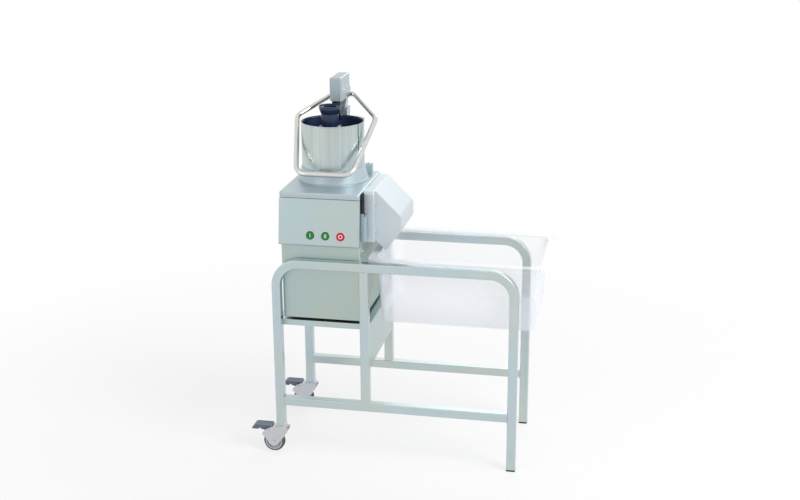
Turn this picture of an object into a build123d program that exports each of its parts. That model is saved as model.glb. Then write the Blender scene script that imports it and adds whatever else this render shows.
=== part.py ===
from build123d import *
from math import atan2, cos, degrees, radians, sin
import os

os.makedirs("parts", exist_ok=True)

# Container that hangs on the rails by its rim
bin_length = 600
bin_width = 400
bin_height = 230
bin_gap = 23
bin_rim = 24
bin_rim_height = 13
bin_wall = 2.5
bin_taper = 16
bin_corner = 35

# Stand: two bent frames of square tube, joined by the shelf under the machine
stand_length = 840
rail_top = 715
rail_margin = 10
tube = 30
tube_wall = 1.5
tube_corner = 3
bend_radius = 80
low_rail_top = 211
post_shift = 14
cap_height = 6
cap_plug = 20
plug_gap = 0.2
run_gap = 0.05
loose_gap = 0.3

# Shelf and its apron on the container side
shelf_drop = 224
shelf_sheet = 2
shelf_lip = 20
shelf_inset = 4
apron_drop = 153

# Castors under the two legs on the machine side
castor_height = 100
wheel_radius = 37.5
wheel_width = 24
tyre_depth = 7
tyre_edge = 3
castor_trail = 28
fork_gap = 29
fork_sheet = 2.5
fork_rear = 52
fork_low = 28
fork_hip = 46
fork_waist = 57
fork_nose_low = 62
fork_nose_high = 70
fork_shoulder = 86
fork_nose = 68
race_radius = 22.5
pedal_reach = 104
pedal_width = 38
pedal_pivot = (-46, 80)
pedal_rise = 20
axle_radius = 4

# Machine body between the rails
body_width = 277
body_height = 281
body_inset = 25
side_gap = 2
body_sheet = 2
body_corner = 10
base_slot_pitch = (30, 60)
base_slot = (46, 6)
base_sheet = 3
foot_height = 10
foot_radius = 18
foot_inset = (36, 40)
vent_size = (70, 5)
vent_count = 6
vent_pitch = 14
vent_rise = 44
gland_bore = 5
gland_nut = 7
gland_cone = 9

# Bowl casting with the cutting chamber, open to the chute
deck_height = 6
bowl_height = 145
bowl_front_set = 2
bowl_back_set = 26
bowl_wall = 6
chamber_radius = 112
chamber_depth = 74
floor_thick = 10
window_set = 17
window_drop = 12
sill_rise = 23
ramp_length = 36
boss_radius = 32

# Sloping control panel and its three push buttons
panel_top_gap = 3
panel_overlap = 16
panel_top_depth = 3
panel_bottom_depth = 27
panel_sheet = 2
panel_corner = 6
button_radius = 14.2
button_rise = 37
button_pitch = 52
button_start = -28.5
button_proud = 4
button_travel = 3
bezel_width = 3.5
bezel_proud = 1.5
stem_radius = 5
switch_side = 20
switch_depth = 12

# Discharge chute
collar_thick = 36
collar_gap = 4
collar_drop = 14
collar_below_lid = 3
collar_round = 12
chute_set = 21
chute_wall = 3.5
chute_reach = 88
chute_slope_drop = 86
chute_lip_height = 50
chute_fold = 20
chute_tip_reach = 35
chute_tip_clear = 9
sill_drop = 28

# Lid latch on the front right edge
latch_set = 6
latch_width = 38
latch_thick = 4
latch_eye = 4
latch_height = 75
latch_drop = 59
latch_bracket_depth = 15
latch_bracket_height = 87
latch_pin_radius = 2

# Motor, belt and spindle inside the body
motor_radius = 72
motor_height = 134
motor_drop = 88
motor_clear = 9
stator_wall = 30
rotor_gap = 0.6
motor_shaft_radius = 9
bearing_height = 10
plate_thick = 6
plate_size = (190, 150)
stud_spread = (80, 65)
stud_radius = 5
pulley_rise = 36
pulley_height = 22
motor_pulley_radius = 22
spindle_pulley_radius = 60
belt_centres = 87
belt_thick = 3
spindle_radius = 10
spindle_tail = 8
spindle_bearing_radius = 21
ejector_rise = 5
ejector_height = 35
ejector_thick = 5
ejector_vane = 9
disc_thick = 3
disc_gap = 6
hub_radius = 24
hub_height = 29

# Lid with the feed hopper
lid_overhang = 5
lid_gap = 0.3
lid_height = 18
lid_side_gap = 0.5
lid_wall = 5
lid_plate = 6
lid_corner = 12
lid_edge = 6
ear_foot_drop = 45
hinge_reach = 14
hinge_rise = 3
hinge_pin_radius = 5
hinge_lug_radius = 9
hinge_span = 90
knuckle_width = 16
ear_width = 8
hopper_shift = 12
hopper_radius = 107.5
hopper_sheet = 1.5
hopper_height = 196
seat_rise = 6
flange_radius = 120
flange_edge = 5
skirt_height = 50
liner_thick = 3
liner_drop = 4
slot_width = 4
slot_depth = 91
slot_angle = -23
rim_tab_angles = (34, 59)
rim_tab_width = 10
rim_tab_thick = 3
clamp_offset = (106, 89)
clamp_size = (24, 20, 37)

# Lever: hinge pin behind the hopper, cross pin over the pusher yoke
lever_pin_reach = 44
lever_pin_rise = 75
cross_pin_reach = 108
cross_pin_drop = 70
lever_pin_radius = 6
cross_pin_radius = 5
column_width = 48
column_depth = 24
column_set = 21
shoulder_drop = 52
column_lug = 27.8
lug_radius = 14
cover_width = 42
cover_height = 80
cover_nose = 21
cover_tail = 6
cover_pin_rise = 17
cover_cut = (52, 35)
cover_wall = 2.5
cover_edge = 6
plate_outer = 18.2
plate_drop = 22
arm_outer = 14.2
arm_inner = 9
arm_end_radius = 15
arm_front_set = 18
arm_rear_set = 25
arm_drop = 24
eye_radius = 16
bolt_radius = 4
bolt_places = (33, 83)
bolt_rise = 35
handle_radius = 9
handle_wall = 1.5
handle_stub = 18
handle_bend_reach = 120
handle_bend_drop = 72.5
handle_half_width = (140, 95)
handle_upper_bend = 42
handle_lower_bend = 40
handle_reach = 30.5
handle_rise = 47

# Pusher in the hopper, with its feed tube and small hand pusher
piston_gap = 0.8
piston_rise = 7
piston_height = 52
piston_floor = 8
piston_wall = 5
piston_edge = 3
feed_tube_shift = 33
feed_tube_radius = 30
feed_tube_wall = 2.5
feed_tube_rise = 59
feed_rim_radius = 37
feed_rim_height = 27
feed_rim_wall = 3
feed_collar_drop = 14
feed_collar_height = 12
feed_collar_reach = 8
hand_pusher_gap = 0.5
hand_head_thick = 5
hand_pocket = 8
pusher_stem_radius = 6.5
yoke_width = 14
yoke_slot_shift = 20.7
yoke_slot_play = 1.8
yoke_margin = 9

# Widths and depths worked out from the sizes above
stand_width = bin_width + 2 * rail_margin
leg_x = (stand_length - tube) / 2
frame_y = (stand_width - tube) / 2
inner_y = stand_width / 2 - tube
shelf_left = -stand_length / 2 + shelf_inset
body_x = shelf_left + body_inset + body_width / 2
body_right = body_x + body_width / 2
post_x = body_right + post_shift
shelf_right = post_x + tube / 2 - 1
bin_left = body_right + bin_gap
body_depth = 2 * (inner_y - side_gap)
body_front = -body_depth / 2
body_back = body_depth / 2
bowl_front = body_front + bowl_front_set
bowl_back = body_back - bowl_back_set
motor_y = body_back - body_sheet - motor_clear - motor_radius
disc_y = motor_y - belt_centres
hopper_y = disc_y + hopper_shift
feed_tube_y = hopper_y - feed_tube_shift
panel_top_y = body_front - panel_top_depth
panel_bottom_y = body_front - panel_bottom_depth
lid_front = panel_top_y - lid_overhang
latch_front = body_front + latch_set
collar_half = -latch_front - latch_width - collar_gap
chute_half = collar_half - chute_set
window_half = chute_half - window_set
hinge_y = bowl_back + hinge_reach
lever_pin_y = bowl_back + lever_pin_reach
cross_pin_y = lever_pin_y - cross_pin_reach
cover_front = cross_pin_y - cover_nose
cover_back = lever_pin_y - cover_tail
cover_cut_y = cover_back - cover_cut[0]
collar_right = body_right + collar_thick
ramp_start = body_right - ramp_length
chute_lip_x = collar_right + chute_reach
chute_tip_x = collar_right + chute_tip_reach
feed_tube_bore = feed_tube_radius - feed_tube_wall
chamber_bore = hopper_radius - hopper_sheet - loose_gap - liner_thick
disc_radius = chamber_radius - disc_gap

# Heights worked out from the floor up
rail_z = rail_top - tube / 2
low_rail_z = low_rail_top - tube / 2
bin_top = rail_top + bin_rim_height
shelf_top = rail_top - shelf_drop
apron_bottom = shelf_top - apron_drop
body_bottom = shelf_top + foot_height
body_top = body_bottom + body_height
bowl_top = body_top + bowl_height
vent_z = body_bottom + vent_rise
gland_z = vent_z + (vent_count + 1) * vent_pitch / 2 + 20
chamber_floor = bowl_top - chamber_depth
window_top = bowl_top - window_drop
window_sill = body_top + sill_rise
panel_top = bowl_top - panel_top_gap
panel_bottom = body_top - panel_overlap
panel_lean = atan2(panel_top_y - panel_bottom_y, panel_top - panel_bottom)
button_z = panel_bottom + button_rise
lid_bottom = bowl_top + lid_gap
lid_top = bowl_top + lid_height
collar_top = lid_top - collar_below_lid
collar_bottom = body_top - collar_drop
chute_lip_top = collar_top - chute_slope_drop
chute_lip_bottom = chute_lip_top - chute_lip_height
chute_tip_z = bin_top + chute_tip_clear
latch_bottom = bowl_top - latch_drop
latch_top = latch_bottom + latch_height
latch_bracket_bottom = latch_bottom - latch_bracket_height
motor_top = body_top - motor_drop
motor_bottom = motor_top - motor_height
plate_z = motor_top
pulley_z = motor_top + pulley_rise
spindle_bottom = pulley_z - spindle_tail
ejector_z = chamber_floor + ejector_rise
disc_z = ejector_z + ejector_height
hub_top = disc_z + hub_height
spindle_top = hub_top - 4
hinge_z = bowl_top + hinge_rise
hopper_seat = lid_top + seat_rise
hopper_top = hopper_seat + hopper_height
skirt_top = lid_top + skirt_height
liner_top = hopper_top - liner_drop
lever_pin_z = hopper_top + lever_pin_rise
cross_pin_z = lever_pin_z - cross_pin_drop
column_shoulder = lever_pin_z - shoulder_drop
cover_bottom = lever_pin_z - cover_pin_rise
cover_top = cover_bottom + cover_height
cover_cut_z = cover_bottom + cover_cut[1]
piston_bottom = hopper_seat + piston_rise
feed_tube_top = hopper_top + feed_tube_rise
feed_collar_z = hopper_top - feed_collar_drop
handle_end = (lever_pin_y - 3, lever_pin_z - 14)
handle_upper = (handle_half_width[0], lever_pin_y - handle_bend_reach, lever_pin_z - handle_bend_drop)
handle_lower = (handle_half_width[1], hopper_y - hopper_radius - handle_reach, lid_top + handle_rise)


def write(piece, name):
    piece.label = name
    export_step(piece, f"parts/{name}.step")


tube_inside = tube - 2 * tube_wall


def bent_frame(y_mid):
    with BuildPart() as frame:
        with BuildLine(Plane.XZ.offset(-y_mid)) as route:
            FilletPolyline(
                (-leg_x, castor_height), (-leg_x, rail_z), (leg_x, rail_z), (leg_x, cap_height),
                radius=bend_radius,
            )
        with BuildSketch(Plane((-leg_x, y_mid, castor_height))):
            RectangleRounded(tube, tube, tube_corner)
            Rectangle(tube_inside, tube_inside, mode=Mode.SUBTRACT)
        sweep(path=route.line)
    return frame.part


write(bent_frame(-frame_y), "frame_front")
write(bent_frame(frame_y), "frame_back")

with BuildPart() as lower_rails:
    for y_mid in (-frame_y, frame_y):
        with BuildSketch(Plane((-leg_x + tube / 2, y_mid, low_rail_z), x_dir=(0, 1, 0), z_dir=(1, 0, 0))):
            RectangleRounded(tube, tube, tube_corner)
            Rectangle(tube_inside, tube_inside, mode=Mode.SUBTRACT)
        extrude(amount=stand_length - 2 * tube)
write(lower_rails.part, "lower_rails")

with BuildPart() as mid_posts:
    for y_mid in (-frame_y, frame_y):
        with BuildSketch(Plane((post_x, y_mid, low_rail_top))):
            RectangleRounded(tube, tube, tube_corner)
            Rectangle(tube_inside, tube_inside, mode=Mode.SUBTRACT)
        extrude(amount=rail_top - tube - low_rail_top)
write(mid_posts.part, "mid_posts")

# The shelf is one bent sheet: a tray with a lip all round and a deep apron on the right
with BuildPart() as machine_shelf:
    shelf_mid = (shelf_left + shelf_right) / 2
    shelf_length = shelf_right - shelf_left
    with BuildSketch(Plane.XY.offset(shelf_top)):
        with Locations((shelf_mid, 0)):
            Rectangle(shelf_length, 2 * inner_y)
    extrude(amount=-shelf_lip)
    fillet(machine_shelf.edges().group_by(Axis.Z)[-1], shelf_sheet)
    with BuildSketch(Plane.XY.offset(shelf_top - shelf_sheet)):
        with Locations((shelf_mid, 0)):
            Rectangle(shelf_length - 2 * shelf_sheet, 2 * (inner_y - shelf_sheet))
    extrude(amount=-shelf_lip, mode=Mode.SUBTRACT)
    with BuildSketch(Plane.XY.offset(shelf_top - shelf_lip)):
        with Locations((shelf_right - shelf_sheet / 2, 0)):
            Rectangle(shelf_sheet, 2 * inner_y)
    extrude(amount=-(shelf_top - shelf_lip - apron_bottom))
write(machine_shelf.part, "machine_shelf")

plug_side = tube - 2 * tube_wall - 2 * plug_gap
with BuildPart() as foot_caps:
    for y_mid in (-frame_y, frame_y):
        with BuildSketch(Plane((leg_x, y_mid, 0))):
            RectangleRounded(tube, tube, tube_corner)
        extrude(amount=cap_height)
        with BuildSketch(Plane((leg_x, y_mid, cap_height))):
            RectangleRounded(plug_side, plug_side, tube_corner - tube_wall)
        extrude(amount=cap_plug)
write(foot_caps.part, "foot_caps")

# Each castor head is a plug in the leg, a race plate under it and a headed king pin
head_height = 5
fork_top = castor_height - head_height - loose_gap
king_radius = 5
king_head_radius = 9
king_head_height = 4
with BuildPart() as castor_heads:
    for y_mid in (-frame_y, frame_y):
        with BuildSketch(Plane((-leg_x, y_mid, castor_height))):
            RectangleRounded(plug_side, plug_side, tube_corner - tube_wall)
        extrude(amount=2 * cap_plug)
        with BuildSketch(Plane((-leg_x, y_mid, castor_height))):
            Circle(race_radius)
        extrude(amount=-head_height)
        with BuildSketch(Plane((-leg_x, y_mid, castor_height - head_height))):
            Circle(king_radius)
        extrude(amount=-(fork_sheet + 2 * loose_gap + king_head_height))
        with BuildSketch(Plane((-leg_x, y_mid, fork_top - fork_sheet - loose_gap))):
            Circle(king_head_radius)
        extrude(amount=-king_head_height)
write(castor_heads.part, "castor_heads")


def castor_fork(y_mid):
    side = Plane.XZ.offset(-y_mid)
    reach = fork_gap / 2 + fork_sheet
    wheel_x = -leg_x - castor_trail
    pivot_x, pivot_z = pedal_pivot
    with BuildPart() as fork:
        with BuildSketch(Plane((-leg_x, y_mid, fork_top))):
            with Locations((-castor_trail / 4, 0)):
                SlotOverall(2 * race_radius + castor_trail / 2, 2 * reach)
            Circle(race_radius - 1)
        extrude(amount=-fork_sheet)
        with BuildSketch(side) as cheek:
            with BuildLine():
                Polyline(
                    (-leg_x - 33, fork_top), (-leg_x + 24, fork_top), (-leg_x + 25, fork_top - 9),
                    (-leg_x + 9, fork_waist), (-leg_x - 15, fork_low), (-leg_x - 42, fork_low),
                    (-leg_x - fork_rear, fork_hip), (-leg_x - fork_nose, fork_nose_low),
                    (-leg_x - fork_nose, fork_nose_high), (-leg_x - fork_rear, fork_shoulder),
                    close=True,
                )
            make_face()
            with Locations((wheel_x, wheel_radius)):
                Circle(15)
            with Locations((-leg_x + pivot_x, pivot_z)):
                Circle(8)
        extrude(amount=reach, both=True)
        with BuildSketch(side):
            with Locations((-leg_x, 0)):
                Rectangle(2 * fork_nose + 2, 2 * (fork_top - fork_sheet))
        extrude(amount=fork_gap / 2, both=True, mode=Mode.SUBTRACT)
        with BuildSketch(Plane((-leg_x, y_mid, fork_top))):
            Circle(king_radius + run_gap)
        extrude(amount=-fork_sheet, mode=Mode.SUBTRACT)
        with BuildSketch(side):
            with Locations((-leg_x + pivot_x, pivot_z)):
                Circle(3)
            with Locations((wheel_x, wheel_radius)):
                Circle(axle_radius)
        extrude(amount=reach + 2, both=True)
        with BuildSketch(side):
            with Locations((wheel_x, wheel_radius)):
                Circle(7.5)
            with Locations((-leg_x + pivot_x, pivot_z)):
                Circle(5)
        extrude(amount=reach + 3, both=True)
        with BuildSketch(side):
            with Locations((wheel_x, wheel_radius)):
                Circle(8)
                Circle(axle_radius, mode=Mode.SUBTRACT)
            with Locations((-leg_x + pivot_x, pivot_z)):
                Circle(6)
                Circle(3, mode=Mode.SUBTRACT)
        extrude(amount=fork_gap / 2, both=True, mode=Mode.SUBTRACT)
    return fork.part


def castor_wheel(y_mid):
    hub_half = fork_gap / 2 - 0.5
    rim_radius = wheel_radius - tyre_depth
    with BuildPart() as wheel:
        with BuildSketch(Plane.XY):
            with BuildLine():
                Polyline(
                    (axle_radius + run_gap, 0), (axle_radius + run_gap, hub_half), (11, hub_half), (12, 7),
                    (rim_radius - 6, 7), (rim_radius - 5, wheel_width / 2), (rim_radius, wheel_width / 2),
                    (rim_radius, 0), close=True,
                )
            make_face()
            mirror(about=Plane.XZ)
        revolve(axis=Axis.Y)
    placed = wheel.part.moved(Location((-leg_x - castor_trail, y_mid, wheel_radius)))
    return placed


def castor_tyre(y_mid):
    half = wheel_width / 2
    with BuildPart() as tyre:
        with BuildSketch(Plane.XY):
            with BuildLine():
                Polyline(
                    (wheel_radius - tyre_depth, 0), (wheel_radius - tyre_depth, half),
                    (wheel_radius - tyre_edge, half), (wheel_radius, half - 2 * tyre_edge), (wheel_radius, 0),
                    close=True,
                )
            make_face()
            mirror(about=Plane.XZ)
        revolve(axis=Axis.Y)
    return tyre.part.moved(Location((-leg_x - castor_trail, y_mid, wheel_radius)))


def castor_pedal(y_mid):
    side = Plane.XZ.offset(-y_mid)
    pivot_x, pivot_z = pedal_pivot
    middle_x = -leg_x + pivot_x
    top = pivot_z + pedal_rise
    tip = -leg_x - pedal_reach
    with BuildPart() as pedal:
        with BuildSketch(side):
            with BuildLine():
                Polyline(
                    (tip, top - 16), (tip, top - 12), (tip + 6, top - 3), (tip + 14, top),
                    (middle_x + 10, top), (middle_x + 14, top - 2), (middle_x + 11, top - 4),
                    (middle_x - 5, top - 4), (middle_x - 9, top - 10), (middle_x - 28, top - 10),
                    (middle_x - 36, top - 16), close=True,
                )
            make_face()
        extrude(amount=pedal_width / 2, both=True)
        with BuildSketch(side):
            with BuildLine():
                Polyline(
                    (middle_x + 5, pivot_z), (middle_x + 1, pivot_z + 9), (middle_x - 4, top - 3),
                    (middle_x - 34, top - 3), (middle_x - 28, top - 17),
                    (middle_x - 6, pivot_z - 3), close=True,
                )
            make_face()
            with Locations((middle_x, pivot_z)):
                Circle(6.5)
        extrude(amount=fork_gap / 2 - 1.5, both=True)
        with BuildSketch(side):
            with Locations((middle_x, pivot_z)):
                Circle(3 + run_gap)
        extrude(amount=pedal_width, both=True, mode=Mode.SUBTRACT)
    return pedal.part


for place, y_mid in (("front", -frame_y), ("back", frame_y)):
    write(castor_fork(y_mid), f"castor_{place}_fork")
    write(castor_wheel(y_mid), f"castor_{place}_wheel")
    write(castor_tyre(y_mid), f"castor_{place}_tyre")
    write(castor_pedal(y_mid), f"castor_{place}_pedal")

# Four rubber feet carry the machine on the shelf
foot_places = [
    (body_x + side_x * (body_width / 2 - foot_inset[0]), side_y * (body_depth / 2 - foot_inset[1]))
    for side_x in (-1, 1) for side_y in (-1, 1)
]
with BuildPart() as machine_feet:
    with BuildSketch(Plane.XY.offset(shelf_top)):
        with Locations(*foot_places):
            Circle(foot_radius)
    extrude(amount=body_bottom - shelf_top, taper=6)
write(machine_feet.part, "machine_feet")

with BuildPart() as motor_housing:
    with BuildSketch(Plane.XY.offset(body_bottom)):
        with Locations((body_x, 0)):
            RectangleRounded(body_width, body_depth, body_corner)
            RectangleRounded(
                body_width - 2 * body_sheet, body_depth - 2 * body_sheet, body_corner - body_sheet,
                mode=Mode.SUBTRACT,
            )
    extrude(amount=body_top - body_bottom)
    with BuildSketch(Plane.XZ.offset(-body_back)):
        with Locations((body_x, vent_z)):
            with GridLocations(2 * vent_size[0] - vent_size[1], vent_pitch, 2, vent_count):
                SlotOverall(*vent_size)
        with Locations((body_x, gland_z)):
            Circle(2 * gland_bore)
    extrude(amount=2 * body_sheet, both=True, mode=Mode.SUBTRACT)
write(motor_housing.part, "motor_housing")

with BuildPart() as cable_gland:
    with BuildSketch(Plane.XZ.offset(-body_back)):
        with Locations((body_x, gland_z)):
            RegularPolygon(2 * gland_nut, 6)
    extrude(amount=-gland_nut)
    with BuildSketch(Plane.XZ.offset(-body_back - gland_nut)):
        with Locations((body_x, gland_z)):
            Circle(gland_cone)
    extrude(amount=-gland_cone, taper=10)
    with BuildSketch(Plane.XZ.offset(-body_back)):
        with Locations((body_x, gland_z)):
            Circle(2 * gland_bore - plug_gap)
    extrude(amount=2 * body_sheet)
    with BuildSketch(Plane.XZ.offset(-body_back)):
        with Locations((body_x, gland_z)):
            Circle(gland_bore)
    extrude(amount=2 * (gland_nut + gland_cone), both=True, mode=Mode.SUBTRACT)
write(cable_gland.part, "cable_gland")

with BuildPart() as housing_base:
    with BuildSketch(Plane.XY.offset(body_bottom)):
        with Locations((body_x, 0)):
            RectangleRounded(
                body_width - 2 * body_sheet - plug_gap, body_depth - 2 * body_sheet - plug_gap,
                body_corner - body_sheet,
            )
            with GridLocations(*base_slot_pitch, 5, 3):
                SlotOverall(*base_slot, rotation=90, mode=Mode.SUBTRACT)
    extrude(amount=base_sheet)
write(housing_base.part, "housing_base")

# Bowl casting: deck, outer walls, chamber, spindle boss, discharge passage and hinge ears
with BuildPart() as bowl_casting:
    bowl_length = bowl_back - bowl_front
    bowl_mid = (bowl_back + bowl_front) / 2
    with BuildSketch(Plane.XY.offset(body_top)):
        with Locations((body_x, 0)):
            RectangleRounded(body_width, body_depth, body_corner)
    extrude(amount=deck_height)
    with BuildSketch(Plane.XY.offset(body_top)):
        with Locations((body_x, bowl_mid)):
            RectangleRounded(body_width, bowl_length, body_corner)
    extrude(amount=bowl_top - body_top)
    pocket_top = chamber_floor - floor_thick
    with BuildSketch(Plane.XY.offset(body_top)):
        with Locations((body_x, bowl_mid)):
            RectangleRounded(body_width - 2 * bowl_wall, bowl_length - 2 * bowl_wall, body_corner - 4)
        with Locations((body_x, disc_y)):
            Circle(boss_radius, mode=Mode.SUBTRACT)
        with Locations((body_right, 0)):
            passage_length = 2 * (body_right - ramp_start + floor_thick)
            Rectangle(passage_length, 2 * (window_half + bowl_wall), mode=Mode.SUBTRACT)
    extrude(amount=pocket_top - body_top, mode=Mode.SUBTRACT)
    with BuildSketch(Plane.XY.offset(pocket_top)):
        with Locations((body_x, bowl_mid)):
            RectangleRounded(body_width - 2 * bowl_wall, bowl_length - 2 * bowl_wall, body_corner - 4)
        with Locations((body_x, disc_y)):
            Circle(chamber_radius + bowl_wall, mode=Mode.SUBTRACT)
        with Locations((body_right, 0)):
            Rectangle(body_width, 2 * (window_half + bowl_wall), mode=Mode.SUBTRACT)
    extrude(amount=bowl_top - bowl_wall - pocket_top, mode=Mode.SUBTRACT)
    with BuildSketch(Plane.XY.offset(bowl_top)):
        with Locations((body_x, disc_y)):
            Circle(chamber_radius)
    extrude(amount=chamber_floor - bowl_top, mode=Mode.SUBTRACT)
    with BuildSketch(Plane.XZ):
        with BuildLine():
            Polyline(
                (body_x, chamber_floor), (ramp_start, chamber_floor), (body_right, window_sill),
                (body_right, window_top), (body_x, window_top), close=True,
            )
        make_face()
    extrude(amount=window_half, both=True, mode=Mode.SUBTRACT)
    with BuildSketch(Plane.XY.offset(body_top)):
        with Locations((body_x, disc_y)):
            Circle(spindle_bearing_radius + run_gap)
    extrude(amount=pocket_top - body_top - 2, mode=Mode.SUBTRACT)
    with BuildSketch(Plane.XY.offset(body_top)):
        with Locations((body_x, disc_y)):
            Circle(spindle_radius + loose_gap)
    extrude(amount=bowl_top - body_top, mode=Mode.SUBTRACT)
    ear_offset = (knuckle_width + ear_width) / 2 + loose_gap
    ear_shifts = (-ear_offset, ear_offset)
    ear_places = [body_x + side * hinge_span + shift for side in (-1, 1) for shift in ear_shifts]
    for ear_x in ear_places:
        with BuildSketch(Plane.YZ.offset(ear_x - ear_width / 2)):
            with BuildLine():
                Polyline(
                    (bowl_back, hinge_z - ear_foot_drop),
                    (bowl_back, hinge_z - 6),
                    (hinge_y, hinge_z + hinge_lug_radius),
                    (hinge_y + hinge_lug_radius, hinge_z),
                    (hinge_y + hinge_lug_radius, hinge_z - 12),
                    close=True,
                )
            make_face()
            with Locations((hinge_y, hinge_z)):
                Circle(hinge_lug_radius)
            with Locations((bowl_back - 1, hinge_z)):
                Rectangle(2 + 2 * loose_gap, 20, mode=Mode.SUBTRACT)
            with Locations((hinge_y, hinge_z)):
                Circle(hinge_pin_radius, mode=Mode.SUBTRACT)
        extrude(amount=ear_width)
    pin_length = knuckle_width + 2 * ear_width + 2 * loose_gap
    for side in (-1, 1):
        with BuildSketch(Plane.YZ.offset(body_x + side * hinge_span - pin_length / 2)):
            with Locations((hinge_y, hinge_z)):
                Circle(hinge_pin_radius)
        extrude(amount=pin_length)
write(bowl_casting.part, "bowl_casting")

# Collar: a thick flange with rounded ends, level with the lid, where the chute joins the bowl
with BuildPart() as chute_collar:
    with BuildSketch(Plane.XZ):
        with Locations(((body_right + collar_right) / 2, (collar_bottom + collar_top) / 2)):
            Rectangle(collar_thick, collar_top - collar_bottom)
    extrude(amount=collar_half, both=True)
    fillet(chute_collar.edges().filter_by(Axis.X).group_by(Axis.Z)[-1], collar_round)
    fillet(chute_collar.edges().filter_by(Axis.Z).group_by(Axis.X)[-1], chute_wall)
    with BuildSketch(Plane.XZ):
        with BuildLine():
            Polyline(
                (body_right - 1, window_sill), (body_right - 1, window_top), (collar_right + 1, window_top),
                (collar_right + 1, window_sill - sill_drop), close=True,
            )
        make_face()
    extrude(amount=window_half, both=True, mode=Mode.SUBTRACT)
write(chute_collar.part, "chute_collar")

# Hood: a folded sheet whose roof runs on from the collar and slopes down over the container, open below
with BuildPart() as chute_hood:
    with BuildSketch(Plane.XZ):
        with BuildLine():
            Polyline(
                (collar_right, collar_top), (chute_lip_x, chute_lip_top), (chute_lip_x, chute_lip_bottom),
                (chute_tip_x, chute_tip_z), (collar_right, collar_bottom), close=True,
            )
        make_face()
    extrude(amount=chute_half, both=True)
    fillet(chute_hood.edges().filter_by(Axis.Y).group_by(Axis.Z)[-2], chute_fold)
    with BuildSketch(Plane.XZ):
        with BuildLine():
            Polyline(
                (collar_right - 1, collar_top - 1.4 * chute_wall + 1),
                (chute_lip_x - chute_wall, chute_lip_top - 2),
                (chute_lip_x - chute_wall, chute_lip_bottom - 40),
                (chute_tip_x + 20, chute_tip_z - 10),
                (chute_tip_x, chute_tip_z + 1.4 * chute_wall),
                (collar_right - 1, collar_bottom + 1.4 * chute_wall), close=True,
            )
        make_face()
    extrude(amount=chute_half - chute_wall, both=True, mode=Mode.SUBTRACT)
write(chute_hood.part, "chute_hood")

# Latch: a bracket with two ears, and a thin plate on the lid's side that swings out sideways
latch_x = body_right + loose_gap + latch_eye
latch_y = latch_front + latch_width / 2
latch_pin_z = latch_bottom + latch_eye + 1
ear_wide = 8
ear_clear = 0.4
with BuildPart() as latch_bracket:
    with BuildSketch(Plane.XY.offset(latch_bracket_bottom)):
        with Locations((body_right + latch_bracket_depth / 2, latch_y)):
            Rectangle(latch_bracket_depth, latch_width)
    extrude(amount=latch_bottom - 1 - latch_bracket_bottom)
    fillet(latch_bracket.edges().filter_by(Axis.Z).group_by(Axis.X)[-1], latch_eye)
    with BuildSketch(Plane.XZ.offset(-latch_y)):
        with Locations((latch_x, latch_pin_z)):
            Circle(latch_eye)
        with Locations((latch_x, (latch_bottom - 1 + latch_pin_z) / 2)):
            Rectangle(2 * latch_eye, latch_pin_z - latch_bottom + 1)
    extrude(amount=latch_width / 2, both=True)
    with BuildSketch(Plane.XZ.offset(-latch_y)):
        with Locations((latch_x, latch_pin_z)):
            Rectangle(4 * latch_eye, 2 * latch_eye + 4)
    extrude(amount=latch_width / 2 - ear_wide, both=True, mode=Mode.SUBTRACT)
    with BuildSketch(Plane.XZ.offset(-latch_y)):
        with Locations((latch_x, latch_pin_z)):
            Circle(latch_pin_radius)
    extrude(amount=latch_width / 2, both=True)
write(latch_bracket.part, "latch_bracket")

with BuildPart() as lid_latch:
    with BuildSketch(Plane.XZ.offset(-latch_y)):
        with Locations((body_right + loose_gap + latch_thick / 2, (latch_pin_z + latch_top) / 2)):
            Rectangle(latch_thick, latch_top - latch_pin_z)
    extrude(amount=latch_width / 2, both=True)
    fillet(lid_latch.edges().filter_by(Axis.X).group_by(Axis.Z)[-1], 7)
    with BuildSketch(Plane.XZ.offset(-latch_y)):
        with Locations((latch_x, latch_pin_z)):
            Rectangle(4 * latch_eye, 2 * latch_eye + 2)
    extrude(amount=latch_width / 2, both=True, mode=Mode.SUBTRACT)
    with BuildSketch(Plane.XZ.offset(-latch_y)):
        with Locations((latch_x, latch_pin_z)):
            Circle(latch_eye)
        with Locations((body_right + loose_gap + latch_thick / 2, latch_pin_z + latch_eye)):
            Rectangle(latch_thick, 2 * latch_eye)
    extrude(amount=latch_width / 2 - ear_wide - ear_clear, both=True)
    with BuildSketch(Plane.XZ.offset(-latch_y)):
        with Locations((latch_x, latch_pin_z)):
            Circle(latch_pin_radius + run_gap)
    extrude(amount=latch_width, both=True, mode=Mode.SUBTRACT)
    grip_z = latch_top - 22
    with BuildSketch(Plane.YZ.offset(body_right + loose_gap + latch_thick)):
        with Locations((latch_y, grip_z), (latch_y, grip_z - 7), (latch_y, grip_z - 14)):
            SlotOverall(latch_width - 12, 3)
    extrude(amount=-1, mode=Mode.SUBTRACT)
write(lid_latch.part, "lid_latch")

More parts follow.
